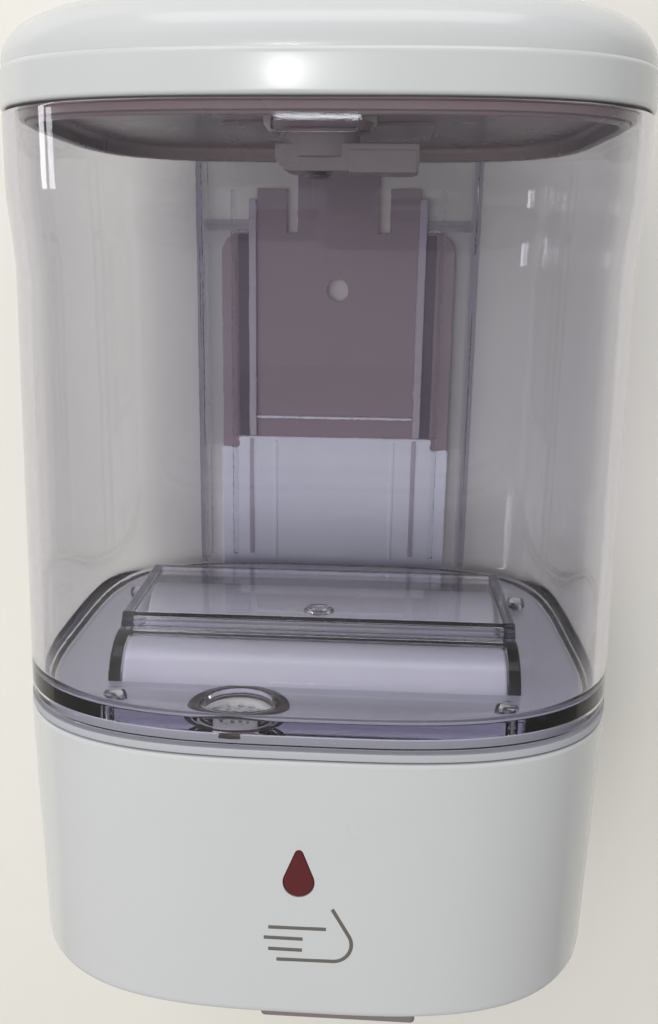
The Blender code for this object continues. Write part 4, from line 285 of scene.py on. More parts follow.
def painted_shade_below(material, low, high, colour):
    """Gives a finish a darker colour below a height: painted shade in the seam between the clear tank and
    the base.
    """
    t = material.node_tree
    shader = t.nodes["Principled BSDF"]
    upper = shader.inputs["Base Color"].links[0].from_node
    coords = add(t, "TexCoord")
    parts = add(t, "SeparateXYZ")
    share = add(t, "MapRange", From_Min=(low - BASE_TO_ORIGIN) * MM,
                From_Max=(high - BASE_TO_ORIGIN) * MM)
    blend = add(t, "Mix", data_type="RGBA")
    blend.inputs[6].default_value = (*colour, 1)
    link(
        t,
        (coords, "Object", parts, 0),
        (parts, "Z", share, "Value"),
        (share, "Result", blend, "Factor"),
        (upper, 2, blend, 7),
        (blend, 2, shader, "Base Color"),
    )
    return material


PLASTICS = {
    "white_shell": dict(colour=(0.585, 0.60, 0.61), low=0.2, high=0.3, grain=(3000.0, 0.15), wave=1.2,
                        scratch=0.0, coat=0.5, coat_roughness=0.13, wear=0.1, second=(0.57, 0.58, 0.585)),
    "white_inner": dict(colour=(0.72, 0.73, 0.77), low=0.32, high=0.45, grain=(2600.0, 0.35)),
    # Lighter copy of the inner white: painted light on the back cover and on the channel's ledge
    "white_panel": dict(colour=(0.80, 0.82, 0.87), low=0.32, high=0.45, grain=(2600.0, 0.35)),
    # Pale opaque colour for the clear channel rails: painted highlight over the dark plate, painted shade
    # over the white back cover
    "channel_pale": dict(colour=(0.43, 0.39, 0.44), low=0.2, high=0.35, grain=(2400.0, 0.2)),
    "plum_plate": dict(colour=(0.30, 0.235, 0.26), low=0.16, high=0.30, grain=(2200.0, 0.2), scratch=0.4,
                       second=(0.28, 0.22, 0.245)),
    # Dark taupe for the pieces under the lid: painted shade under the lid
    "taupe_liner": dict(colour=(0.215, 0.165, 0.17), low=0.22, high=0.36, grain=(2200.0, 0.25)),
    "dark_rubber": dict(colour=(0.035, 0.022, 0.02), low=0.5, high=0.7, grain=(1800.0, 0.8), wear=0.1),
    "soft_silicone": dict(colour=(0.62, 0.62, 0.60), low=0.35, high=0.5, grain=(1500.0, 0.4), wear=0.0),
    "grey_plastic": dict(colour=(0.30, 0.30, 0.31), low=0.35, high=0.5, grain=(1900.0, 0.9)),
    "black_plastic": dict(colour=(0.022, 0.022, 0.025), low=0.3, high=0.48, grain=(1900.0, 0.9)),
    "red_lens": dict(colour=(0.070, 0.009, 0.011), low=0.1, high=0.2, grain=(3000.0, 0.05), coat=0.1,
                     second=(0.06, 0.008, 0.010), scratch=0.1, specular=0.3),
    "sensor_window": dict(colour=(0.012, 0.006, 0.010), low=0.04, high=0.10, grain=(3000.0, 0.05), coat=0.4),
    "bright_metal": dict(colour=(0.62, 0.61, 0.59), low=0.12, high=0.3, grain=(900.0, 0.3), metallic=1.0),
    "plated_steel": dict(colour=(0.52, 0.52, 0.53), low=0.22, high=0.42, grain=(900.0, 0.4), metallic=1.0),
    "dark_steel": dict(colour=(0.13, 0.12, 0.125), low=0.22, high=0.42, grain=(900.0, 0.4), metallic=1.0),
    "motor_case": dict(colour=(0.50, 0.50, 0.51), low=0.25, high=0.45, grain=(1200.0, 0.4), metallic=1.0),
    "gear_plastic": dict(colour=(0.76, 0.74, 0.68), low=0.35, high=0.5, grain=(1700.0, 0.4)),
    "board_green": dict(colour=(0.016, 0.10, 0.04), low=0.25, high=0.4, grain=(700.0, 0.8),
                        second=(0.012, 0.075, 0.03)),
    "cell_jacket": dict(colour=(0.035, 0.06, 0.11), low=0.18, high=0.3, grain=(1500.0, 0.2), metallic=0.3),
    "clear_grey": dict(colour=(0.15, 0.13, 0.135), low=0.2, high=0.32, grain=(2200.0, 0.2), wear=0.5,
                       second=(0.14, 0.12, 0.125)),
    "hand_print": dict(colour=(0.085, 0.078, 0.070), low=0.4, high=0.55, grain=(2500.0, 0.6), wear=0.0),
}
FINISH = {name: plastic(name, **look) for name, look in PLASTICS.items()}
# The deck's rim below the tank takes a darker grey as painted shade in the seam between tank and base
FINISH["deck_white"] = painted_shade_below(plastic("deck_white", **PLASTICS["white_inner"]), 55.75, 55.95,
                                    (0.30, 0.305, 0.33))
FINISH["clear_tank"] = clear_plastic("clear_tank", 0.03, (0.44, 0.42, 0.555), 85.0)
FINISH["channel_edge"] = clear_plastic("channel_edge", 0.05, (0.46, 0.42, 0.53), 480.0)


# Making pieces

def mm(*values):
    return Vector([value * MM for value in values])


def new_object(name, data):
    obj = bpy.data.objects.new(name, data)
    bpy.context.scene.collection.objects.link(obj)
    return obj


def from_bmesh(name, shape):
    """Weld a shape, turn its faces outwards and make it an object."""
    bmesh.ops.remove_doubles(shape, verts=shape.verts, dist=WELD)
    bmesh.ops.recalc_face_normals(shape, faces=shape.faces)
    mesh = bpy.data.meshes.new(name)
    shape.to_mesh(mesh)
    shape.free()
    return new_object(name, mesh)


def evaluated_mesh(obj):
    """Mesh of a curve, or of a piece with its modifiers."""
    bpy.context.view_layer.update()
    graph = bpy.context.evaluated_depsgraph_get()
    return bpy.data.meshes.new_from_object(obj.evaluated_get(graph))


def settle(obj):
    """Apply an object's modifiers to its mesh."""
    mesh = evaluated_mesh(obj)
    obj.modifiers.clear()
    old = obj.data
    obj.data = mesh
    bpy.data.meshes.remove(old)
    return obj


def cut(target, tool, operation="DIFFERENCE"):
    """Cut a helper solid out of a piece, or join it on, and drop the helper."""
    change = target.modifiers.new("cut", "BOOLEAN")
    change.object = tool
    change.operation = operation
    change.solver = "EXACT"
    settle(target)
    bpy.data.objects.remove(tool)
    return target


def join(target, tool):
    return cut(target, tool, "UNION")


def cut_turned(target, tool, axis, degrees, place):
    """Cut a helper out after it is turned about an axis and moved."""
    turning = Matrix.Rotation(math.radians(degrees), 4, axis)
    tool.data.transform(Matrix.Translation(mm(*place)) @ turning)
    return cut(target, tool)


def round_edges(obj, width, segments=2, angle=40):
    """Round a piece's sharp edges by a width in millimetres."""
    rounder = obj.modifiers.new("edges", "BEVEL")
    rounder.width = width * MM
    rounder.segments = segments
    rounder.limit_method = "ANGLE"
    rounder.angle_limit = math.radians(angle)
    rounder.use_clamp_overlap = True
    return settle(obj)


def smooth(obj, angle=38):
    """Smooth shading that keeps flat faces flat."""
    obj.data.shade_smooth()
    obj.data.set_sharp_from_angle(angle=math.radians(angle))
    weight = obj.modifiers.new("even", "WEIGHTED_NORMAL")
    weight.keep_sharp = True
    weight.weight = 80
    return settle(obj)


def seat(obj, body, slot, *nodes, finish=None, angle=38):
    """Finish a piece: smooth it, move it to the frame, give it its material and its body."""
    smooth(obj, angle)
    obj.data.transform(Matrix.Translation((0, 0, -BASE_TO_ORIGIN * MM)))
    obj.data.materials.clear()
    obj.data.materials.append(FINISH[finish or slot])
    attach(obj, body)
    if nodes:
        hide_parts(*nodes)
    return obj


def box(name, low, high, edge=0.0, segments=2):
    """Box between two corners with rounded edges."""
    shape = bmesh.new()
    middle = (mm(*low) + mm(*high)) / 2
    size = mm(*high) - mm(*low)
    bmesh.ops.create_cube(shape, size=1.0, matrix=Matrix.Translation(middle) @ Matrix.Diagonal((*size, 1.0)))
    if edge:
        bmesh.ops.bevel(shape, geom=shape.edges[:], offset=edge * MM, segments=segments, profile=0.5,
                        affect="EDGES", material=-1)
    return from_bmesh(name, shape)


def side_box(name, side, near, far, low, high, edge=0.0):
    """Box left or right of the middle, from a low to a high (depth, height)."""
    left, right = sorted((side * near, side * far))
    return box(name, (left, *low), (right, *high), edge=edge)


def rod(name, axis, start, length, radius, edge=0.0, steps=64):
    """Round bar from a start point along an axis, its rims rounded."""
    shape = bmesh.new()
    place = Matrix.Translation(mm(*start)) @ AXIS[axis] @ Matrix.Translation((0, 0, length * MM / 2))
    bmesh.ops.create_cone(shape, cap_ends=True, segments=steps, radius1=radius * MM, radius2=radius * MM,
                          depth=length * MM)
    rims = [e for e in shape.edges if abs(e.verts[0].co.z - e.verts[1].co.z) < 1e-7]
    if edge:
        bmesh.ops.bevel(shape, geom=rims, offset=edge * MM, segments=3, profile=0.5, affect="EDGES",
                        material=-1)
    bmesh.ops.transform(shape, matrix=place, verts=shape.verts)
    return from_bmesh(name, shape)


def bore(target, start, length, radius, steps):
    """Cut an upright round hole."""
    return cut(target, rod("bore", "Z", start, length, radius, steps=steps))


def rounded(points, radius, steps=4, closed=True):
    """Round the corners of an outline by a radius, or by one radius a corner."""
    count = len(points)
    radii = radius if isinstance(radius, (list, tuple)) else [radius] * count
    result = []
    for k, point in enumerate(points):
        corner = Vector(point)
        if radii[k] <= 0 or (not closed and k in (0, count - 1)):
            result.append(tuple(corner))
            continue
        before = Vector(points[k - 1]) - corner
        after = Vector(points[(k + 1) % count]) - corner
        half = before.angle(after) / 2
        reach = min(radii[k] / math.tan(half), before.length * 0.49, after.length * 0.49)
        inward = (before.normalized() + after.normalized()).normalized()
        centre = corner + inward * reach / math.cos(half)
        first = corner + before.normalized() * reach - centre
        last = corner + after.normalized() * reach - centre
        result.extend(tuple(centre + first.slerp(last, step / steps)) for step in range(steps + 1))
    return result


def rectangle(low, high, radius, steps=4):
    return rounded([low, (high[0], low[1]), high, (low[0], high[1])], radius, steps)


def turned(name, profile, place, steps=72):
    """Spin a (radius, height) profile about an upright axis."""
    shape = bmesh.new()
    corners = [shape.verts.new(mm(radius, 0, height)) for radius, height in profile]
    edges = [shape.edges.new(pair) for pair in zip(corners, corners[1:])]
    if profile[0][0] > 0:
        edges.append(shape.edges.new((corners[-1], corners[0])))
    bmesh.ops.spin(shape, geom=corners + edges, cent=(0, 0, 0), axis=(0, 0, 1), dvec=(0, 0, 0),
                   angle=2 * math.pi, steps=steps, use_merge=True, use_duplicate=False)
    bmesh.ops.translate(shape, verts=shape.verts, vec=mm(*place))
    return from_bmesh(name, shape)


def as_mesh(curve_object):
    """Make a curve a welded mesh."""
    mesh = evaluated_mesh(curve_object)
    name, curve = curve_object.name, curve_object.data
    bpy.data.objects.remove(curve_object)
    bpy.data.curves.remove(curve)
    shape = bmesh.new()
    shape.from_mesh(mesh)
    bpy.data.meshes.remove(mesh)
    bmesh.ops.remove_doubles(shape, verts=shape.verts, dist=WELD)
    bmesh.ops.dissolve_limit(shape, angle_limit=0.005, verts=[], edges=shape.edges)
    return from_bmesh(name, shape)


def draw(curve, points, closed=False):
    spline = curve.splines.new("POLY")
    spline.points.add(len(points) - 1)
    spline.use_cyclic_u = closed
    for point, place in zip(spline.points, points):
        point.co = (*mm(*place), 1)


def plate(name, outlines, turn, centre, thickness, edge=0.0, steps=2):
    """Flat outline with holes, given a thickness and rounded rims, then turned into place."""
    curve = bpy.data.curves.new(name, "CURVE")
    curve.dimensions = "2D"
    curve.fill_mode = "BOTH"
    curve.extrude = (thickness / 2 - edge) * MM
    curve.bevel_depth = edge * MM
    curve.offset = -edge * MM
    curve.bevel_resolution = steps
    for outline in outlines:
        draw(curve, [(*point, 0) for point in outline], closed=True)
    obj = as_mesh(new_object(name, curve))
    obj.data.transform(Matrix.Translation(mm(*centre)) @ turn)
    return obj


def wire(name, points, radius, steps=3):
    """Round wire or stroke with filled ends along points in millimetres."""
    curve = bpy.data.curves.new(name, "CURVE")
    curve.dimensions = "3D"
    curve.bevel_depth = radius * MM
    curve.bevel_resolution = steps
    curve.use_fill_caps = True
    draw(curve, points)
    return as_mesh(new_object(name, curve))


def arc(centre, radius, start, end, count):
    """Points on an arc, angles in degrees."""
    angles = [math.radians(start + (end - start) * step / (count - 1)) for step in range(count)]
    return [(centre[0] + radius * math.cos(a), centre[1] + radius * math.sin(a)) for a in angles]


def body_size(height):
    """Half width and depth of the body at a height."""
    if height <= SEAM_HEIGHT:
        share = max(0.0, height - BASE_LOW) / BASE_RISE
        return (BASE_HALF_WIDTH + (SEAM_HALF_WIDTH - BASE_HALF_WIDTH) * share,
                BASE_DEPTH + (SEAM_DEPTH - BASE_DEPTH) * share)
    share = min(1.0, (height - SEAM_HEIGHT) / (TOP_HEIGHT - SEAM_HEIGHT))
    return (SEAM_HALF_WIDTH + (TOP_HALF_WIDTH - SEAM_HALF_WIDTH) * share,
            SEAM_DEPTH + (TOP_DEPTH - SEAM_DEPTH) * share)


def outline_point(angle, height, inset):
    """Point on the body's plan outline: two half superellipses that meet at the widest line."""
    half_width, depth = body_size(height)
    across, along = math.cos(angle), math.sin(angle)
    power = FRONT_POWER if along < 0 else REAR_POWER
    reach = depth - WIDEST_DEPTH if along < 0 else WIDEST_DEPTH - BACK_DEPTH
    x = (half_width - inset) * math.copysign(abs(across) ** (2 / power), across)
    y = (reach - inset) * math.copysign(abs(along) ** (2 / power), along)
    return mm(x, y - WIDEST_DEPTH, height)


def loft(name, sections, closed=False):
    """Skin through body outlines given as (height, inset); a closed loft joins last to first."""
    shape = bmesh.new()
    bmesh.ops.create_circle(shape, cap_ends=False, segments=OUTLINE_STEPS, radius=1.0)
    ring = shape.edges[:]
    for _ in range(len(sections) - (0 if closed else 1)):
        grown = bmesh.ops.extrude_edge_only(shape, edges=ring)["geom"]
        fresh = {item for item in grown if isinstance(item, bmesh.types.BMVert)}
        bmesh.ops.translate(shape, verts=list(fresh), vec=(0, 0, 1))
        ring = [item for item in grown if isinstance(item, bmesh.types.BMEdge) and set(item.verts) <= fresh]
    for vertex in shape.verts:
        height, inset = sections[round(vertex.co.z) % len(sections)]
        vertex.co = outline_point(math.atan2(vertex.co.y, vertex.co.x), height, inset)
    bmesh.ops.remove_doubles(shape, verts=shape.verts, dist=WELD)
    open_edges = [edge for edge in shape.edges if edge.is_boundary]
    if open_edges:
        bmesh.ops.holes_fill(shape, edges=open_edges, sides=0)
    return from_bmesh(name, shape)


def soft_copy(node, slot, body, edge):
    """Finer copy of a simple moulded or stamped piece, welded, with its edges rounded."""
    source = frame["nodes"][node]
    shape = bmesh.new()
    shape.from_mesh(source.data)
    bmesh.ops.remove_doubles(shape, verts=shape.verts, dist=WELD)
    flat = [e for e in shape.edges if len(e.link_faces) == 2 and e.calc_face_angle(0) < 0.01]
    bmesh.ops.dissolve_edges(shape, edges=flat, use_verts=False, use_face_split=False)
    obj = from_bmesh(node + "_fine", shape)
    obj.data.transform(Matrix.Translation((0, 0, BASE_TO_ORIGIN * MM)))
    round_edges(obj, edge, 2, 38)
    return seat(obj, body, slot, node)


# Clear tank

def wall_inset(height):
    """Outer wall of the tank: draws in slowly to the waist, then flares under the rim."""
    waist = 0.3 + 1.0 * min(1.0, max(0.0, (height - 55.6) / (146 - 55.6)))
    if height <= 142:
        return waist
    share = min(1.0, (height - 142) / 18)
    return waist + (0.1 - waist) * share * share * (3 - 2 * share)


def step_outline(wall, low):
    """Side profile of the clear floor's two steps, or of their hollow."""
    front_radius = 11.2 - wall
    riser = 90.6 - wall
    top = 69.9 - wall
    rear = 51.1 + wall
    edge = 4.0 - wall
    depth, centre = FRONT_HUMP
    meet = math.degrees(math.acos((depth - riser) / front_radius))
    foot = math.degrees(math.asin(max(0, low - centre) / front_radius))
    points = arc((-depth, centre), front_radius, 180 - foot, meet + 12, 20)
    if low < centre:
        points.insert(0, (-depth - front_radius, low))
    corner = (-riser, centre + front_radius * math.sin(math.radians(meet)))
    corners = [points[-1], corner, (-riser, top), (-rear - edge, top)]
    points += rounded(corners, [0, 1.2, 2.0 - wall / 2, 0], steps=6, closed=False)[1:]
    points += arc((-rear - edge, top - edge), edge, 90, 0, 9)[1:]
    points += [(-rear, low)]
    return points


def make_tank():
    lower = [(56.3, 3.3), (54.7, 3.3), (54.45, 3.0), (54.4, 2.6), (54.4, 1.5), (54.5, 1.0), (54.75, 0.65),
             (55.2, 0.42)]
    levels = (56, 60, 66, 76, 90, 105, 120, 132, 142, 145, 148, 151, 154, 157, 160, 165, 171.8)
    outer = [(height, wall_inset(height)) for height in levels]
    rim = [(172.15, 0.2), (172.35, 0.45), (172.4, 0.8), (172.4, 1.8), (172.35, 2.15), (172.15, 2.4)]
    inner = [(height, inset + TANK_WALL) for height, inset in reversed(outer[2:])]
    corner = [(61.9 - 3.6 * math.sin(a), 2.7 + 3.6 * (1 - math.cos(a)))
              for a in [math.pi / 2 * step / 8 for step in range(9)]]
    tank = loft("tank_clear", [(56.3, 4.2), *lower, *outer, *rim, *inner, *corner, (58.3, 7.2)])
    step = plate("step", [step_outline(0, 57.3)], ALONG_X, (0, 0, 0), 87.6)
    join(tank, round_edges(step, 1.3, 4, angle=60))
    hollow = plate("step_hollow", [step_outline(2.2, 54.0)], ALONG_X, (0, 0, 0), 83.2)
    cut(tank, round_edges(hollow, 0.5, 2, angle=60))
    for side in (-1, 1):
        join(tank, side_box("rib", side, 37.05, 39.35, (-9.0, 55.6), (-0.5, 171.0), 0.35))
        join(tank, side_box("lip", side, 28.3, 38.2, (-1.65, 91.9), (-0.65, 153.8), 0.2))
        join(tank, side_box("hook", side, 23.4, 38.2, (-7.6, 152.3), (-0.8, 155.3), 0.3))
        ear = arc(HINGE, 1.9, -45, 225, 28) + [(-7.8, 171.0), (-6.2, 171.0)]
        join(tank, plate("ear", [ear], ALONG_X, (side * HINGE_X, 0, 0), 4.0, edge=0.2))
        cut(tank, rod("ear_hole", "X", (side * HINGE_X - 3, *HINGE), 6, 1.05, steps=32))
        join(tank, side_box("strip", side, 28.3, 29.7, (-7.4, 95.6), (-4.4, 163.0), 0.3))
        join(tank, side_box("low_strip", side, 28.3, 29.7, (-7.4, 59.5), (-5.5, 96.2), 0.3))
    join(tank, box("keeper", (-7.5, -118.8, 167.3), (7.5, -112.9, 169.5), edge=0.5, segments=3))
    join(tank, rod("spigot", "Z", (*OUTLET, 50.5), 6.8, 8.5, steps=96))
    outlet = [(0, 49.5), (7.15, 49.5), (7.15, 57.8), (7.25, 58.1), (7.5, 58.25), (8.0, 58.4), (8.0, 61.0),
              (0, 61.0)]
    cut(tank, turned("outlet", outlet, (*OUTLET, 0), steps=96))
    dome = [(0, 60.8), (1.3, 60.75), (1.9, 60.45), (2.25, 59.9), (2.4, 59.2), (2.4, 57.3), (0, 57.3)]
    for screw in TANK_SCREWS:
        join(tank, turned("dome", dome, (*screw, 0), steps=40))
        bore(tank, (*screw, 53.0), 6.5, 1.2, 28)
    gate = [(0, 69.6), (1.6, 69.6), (1.6, 70.0), (0.9, 70.3), (0, 70.35)]
    gate_rim = [(2.2, 69.5), (3.4, 69.5), (3.25, 70.05), (2.8, 70.25), (2.35, 70.05)]
    join(tank, turned("gate", list(reversed(gate)), (0.4, -85.6, 0), steps=40))
    join(tank, turned("gate_rim", gate_rim, (0.4, -85.6, 0), steps=56))
    return seat(tank, "housing", "clear_tank", "tank", angle=32)


tank_piece = make_tank()


# Outlet seal and filter

seal = turned("outlet_seal_ring", rectangle((8.8, 54.4), (10.2, 55.9), 0.5), (*OUTLET, 0), steps=80)
seat(seal, "housing", "dark_rubber", "outlet_seal")


def make_filter():
    """Filter disc: a rim, and a web with a solid hub and two rings of round openings round it."""
    rim = rectangle((5.9, 54.6), (6.85, 55.4), 0.2)
    disc = turned("outlet_filter_disc", rim, (*OUTLET, 0), steps=72)
    join(disc, rod("web", "Z", (*OUTLET, 54.8), 0.4, 6.2, steps=72))
    for ring_radius, count, hole in ((4.6, 12, 0.75), (2.5, 7, 0.7)):
        for k in range(count):
            angle = 2 * math.pi * k / count
            x = OUTLET[0] + ring_radius * math.cos(angle)
            y = OUTLET[1] + ring_radius * math.sin(angle)
            bore(disc, (x, y, 54.0), 2.0, hole, 16)
    return seat(disc, "housing", "soft_silicone", "outlet_filter")


make_filter()


# White deck with its two humps

def hump(name, depth, centre, radius, half_length, low, edge):
    foot = math.degrees(math.asin(max(0, low - centre) / radius))
    points = arc((-depth, centre), radius, foot, 180 - foot, 32)
    if low < centre:
        points = [(-depth + radius, low), *points, (-depth - radius, low)]
    return plate(name, [points], ALONG_X, (0, 0, 0), 2 * half_length, edge=edge)


def make_deck():
    deck = loft("base_deck_fine", [
        (54.0, 5.6), (54.0, 4.7), (50.0, 4.7), (50.0, 3.3), (52.4, 3.3), (52.4, 0.6), (52.5, 0.3),
        (52.8, 0.2), (53.7, 0.2), (54.0, 0.3), (54.1, 0.6), (54.1, 3.0), (54.1, 3.7), (55.7, 3.7),
        (55.92, 3.8), (56.0, 4.1), (56.0, 6.0),
    ])
    humps = (("front", *FRONT_HUMP, 8.7), ("rear", *REAR_HUMP, 13.4))
    for label, depth, centre, radius in humps:
        join(deck, hump("hump_" + label, depth, centre, radius, 41.2, 55.0, 0.8))
    for label, depth, centre, radius in humps:
        cut(deck, hump("hollow_" + label, depth, centre, radius - 1.5, 39.7, 53.0, 0.3))
    join(deck, rod("cup", "Z", (*OUTLET, 50.8), 4.2, 10.7, steps=80))
    bore(deck, (*OUTLET, 54.1), 3.0, 10.5, 80)
    bore(deck, (*OUTLET, 49.0), 8.0, 8.8, 80)
    for screw in TANK_SCREWS:
        bore(deck, (*screw, 53.0), 4.0, 1.2, 28)
    return seat(deck, "housing", "white_inner", "base_deck", finish="deck_white")


make_deck()


# Base shell with its grips and drop window

LEAN = math.atan2(BASE_DEPTH - SEAM_DEPTH, BASE_RISE)


def front_place(x, height, inward=0.0):
    """Placement on the leaning front of the base: drawn upright, then leaned and moved."""
    _, depth = body_size(height)
    return (Matrix.Translation(mm(x, -depth, height)) @ Matrix.Rotation(-LEAN, 4, "X") @ UPRIGHT
            @ Matrix.Translation(mm(0, 0, -inward)))


def drop_outline(growth):
    """Drop as a large circle under a small one, with straight flanks that touch both."""
    radius, tip_radius, tip_height = 3.1, 0.8, 6.0
    contact = math.degrees(math.asin((radius - tip_radius) / tip_height))
    tip = arc((0, tip_height), tip_radius + growth, contact, 180 - contact, 12)
    return tip + arc((0, 0), radius + growth, 180 - contact, 360 + contact, 40)


def drop_plate(name, growth, sink, thickness, edge=0.0):
    obj = plate(name, [drop_outline(growth)], FLAT, (0, 0, 0), thickness, edge=edge)
    obj.data.transform(front_place(-0.7, 27.15, sink + thickness / 2))
    return obj


def make_base_shell():
    top = [(51.1, 0), (51.6, 0.08), (51.95, 0.28), (52.1, 0.6), (52.1, 1.2), (52.1, 3.0)]
    shell = loft("base_shell_fine", [
        (-1.5, 3.0), (-1.5, 0.9), (-1.4, 0.55), (-1.15, 0.25), (-0.7, 0.05), (-0.1, 0),
        (8, 0), (18, 0), (30, 0), (42, 0), *top,
    ], closed=True)
    for side, screw in zip((-1, 1), BASE_SCREWS):
        join(shell, rod("boss", "Z", (*screw, 3.1), 16.9, 4.0, steps=40))
        bore(shell, (*screw, 2.0), 12.3, 1.5, 28)
        cut(shell, grip(side))
    cut(shell, drop_plate("drop_hole", 0.06, -1.0, 6.0))
    round_edges(shell, 0.35, 3, angle=50)
    return seat(shell, "housing", "white_shell", "base_shell", angle=30)


def grip(side):
    """Shallow upright scallop with a round foot in the side of the base."""
    profile = arc((0, 23.0), 11.0, 180, 360, 49) + [(11.0, 53.1), (-11.0, 53.1)]
    half_width, _ = body_size(12.0)
    reach = 2.0 + SEAM_HALF_WIDTH - half_width
    centre = (side * (half_width - 0.9 + reach / 2), -WIDEST_DEPTH, 0)
    return plate("grip", [profile], ALONG_X, centre, reach)


base_piece = make_base_shell()
lens = drop_plate("drop_window", 0, 0.15, 2.6, edge=0.35)
seat(lens, "housing", "red_lens", "drop_lens")


# Lid

def crown(share, thickness):
    """Ring on the crown's quarter curve, or on its underside, as (height, inset)."""
    angle = share * math.pi / 2
    run = 1 - math.cos(angle) ** (2 / 2.4)
    rise = math.sin(angle) ** (2 / 2.4)
    base = 0.5 + thickness
    return 180.5 + (14.0 - thickness) * rise, base + (40.0 - base) * run


def make_lid_shell():
    crown_shares = [0.04, 0.08, 0.12, 0.17, 0.22, 0.28, 0.34, 0.4, 0.46, 0.52, 0.58, 0.64, 0.7, 0.76,
                    0.82, 0.88, 0.94, 1.0]
    outer = [crown(share, 0) for share in crown_shares]
    inner = [crown(share, 2.2) for share in reversed(crown_shares)]
    lid = loft("lid_shell_fine", [
        *inner, (180.5, 2.7), (179.9, 2.2), (173.4, 2.4), (172.7, 2.5),
        (172.7, 0.9), (172.75, 0.55), (172.95, 0.22), (173.25, 0.05), (173.6, 0),
        (176.5, 0), (179.3, 0), (179.75, 0.06), (180.05, 0.2), (180.25, 0.42), (180.4, 0.55),
        (180.6, 0.53), *outer,
    ])
    cut(lid, box("relief", (-38.0, -9.1, 171.7), (38.0, 0, 174.6)))
    for side in (-1, 1):
        cut(lid, side_box("window", side, 21.7, 26.3, (-9.4, 171.7), (0, 178.2)))
        join(lid, side_box("lug", side, 17.7, 21.7, (-9.1, 174.4), (-5.8, 182.7), 0.2))
        cut(lid, rod("lug_hole", "X", (side * 19.7 - 3, *HINGE), 6.0, 1.05, steps=32))
        for depth in (38.0, 92.0):
            join(lid, rod("post", "Z", (side * 35.0, -depth, 175.3), 17.8, 3.0, steps=40))
    join(lid, rod("tower", "Z", (*LOCK, 187.0), 4.8, 9.0, steps=64))
    bore(lid, (*LOCK, 180.5), 15.0, 5.8, 64)
    bore(lid, (*LOCK, 190.5), 14.0, 6.8, 64)
    return seat(lid, "lid", "white_shell", "lid_shell", angle=30)


def make_liner():
    """Tray under the lid in dark taupe, as painted shade under the lid: a skirt, a rolled lower edge and a
    flat roof with a lock hole.
    """
    liner = loft("lid_liner_fine", [
        (173.4, 8.5), (173.4, 7.4), (173.2, 6.7), (172.7, 6.3), (172.0, 6.2), (170.3, 6.2), (170.05, 6.0),
        (169.9, 5.7), (169.9, 4.9), (170.05, 4.6), (170.3, 4.4), (174.4, 4.4), (174.85, 4.6), (175.0, 5.1),
        (175.0, 7.0),
    ])
    rim = rectangle((-30.0, -76.0), (30.0, -28.0), 8.0, 8)
    join(liner, plate("panel", [rim], FLAT, (0, 0, 173.3), 1.2, edge=0.4))
    bore(liner, (*LOCK, 171.0), 6.0, 5.8, 64)
    return seat(liner, "lid", "taupe_liner", "lid_liner", angle=34)


def make_gasket():
    gasket = loft("lid_gasket_fine", [
        (170.6, 3.3), (170.75, 3.12), (171.1, 3.1), (171.6, 3.1), (171.95, 3.12), (172.1, 3.3),
        (172.1, 3.9), (171.95, 4.08), (171.6, 4.1), (171.1, 4.1), (170.75, 4.08), (170.6, 3.9),
    ], closed=True)
    # The silicone gasket takes the liner's dark taupe as painted shade under the lid
    return seat(gasket, "lid", "soft_silicone", "lid_gasket", finish="taupe_liner")


lid_piece = make_lid_shell()
make_liner()
make_gasket()


# Lid lock

def make_lock():
    place = (*LOCK, 0)
    collar = [(5.8, 173.1), (10.6, 173.1), (10.6, 170.2), (9.3, 168.9), (5.8, 168.9)]
    boss = turned("lock_boss_fine", rounded(collar, [0.2, 0.2, 0.8, 0.6, 0.3]), place, steps=96)
    seat(boss, "lid", "taupe_liner", "lock_boss")
    barrel = rod("lock_barrel_fine", "Z", (*LOCK, 168.9), 22.5, 5.5, edge=0.3, steps=96)
    join(barrel, rod("head", "Z", (*LOCK, 190.8), 1.0, 6.5, edge=0.25, steps=96))
    bore(barrel, (*LOCK, 167.0), 5.3, 1.6, 32)
    cut(barrel, box("keyway", (-3.0, LOCK[1] - 0.65, 191.1), (3.0, LOCK[1] + 0.65, 193.0)))
    seat(barrel, "lock", "bright_metal", "lock_barrel")
    profile = arc((-5.0, 164.5), 3.0, 180, 270, 12) + [(18.6, 161.5), (18.6, 166.4), (-8.0, 166.4)]
    cam = plate("lock_cam_fine", [profile], UPRIGHT, place, 12.0, edge=0.35, steps=3)
    join(cam, rod("hub", "Z", (*LOCK, 164.0), 4.6, 7.5, edge=0.3, steps=64))
    join(cam, box("block", (5.6, -104.35, 161.2), (18.2, -92.4, 165.3), edge=0.4))
    bore(cam, (*LOCK, 159.0), 12.0, 1.6, 32)
    seat(cam, "lock", "grey_plastic", "lock_cam", finish="clear_grey")
    head = turned("lock_screw_fine", [
        (0, 172.0), (0.9, 172.0), (1.3, 171.2), (1.3, 161.2), (2.3, 161.2), (2.5, 161.05), (2.45, 160.85),
        (2.1, 160.6), (1.5, 160.45), (0, 160.4),
    ], place, steps=48)
    for turn in (20, 110):
        slot = box("cross", (-1.6, -0.35, 159.0), (1.6, 0.35, 160.95))
        cut_turned(head, slot, "Z", turn, place)
    seat(head, "lock", "plated_steel", "lock_screw", finish="dark_steel")


make_lock()


# Wall plate and back cover

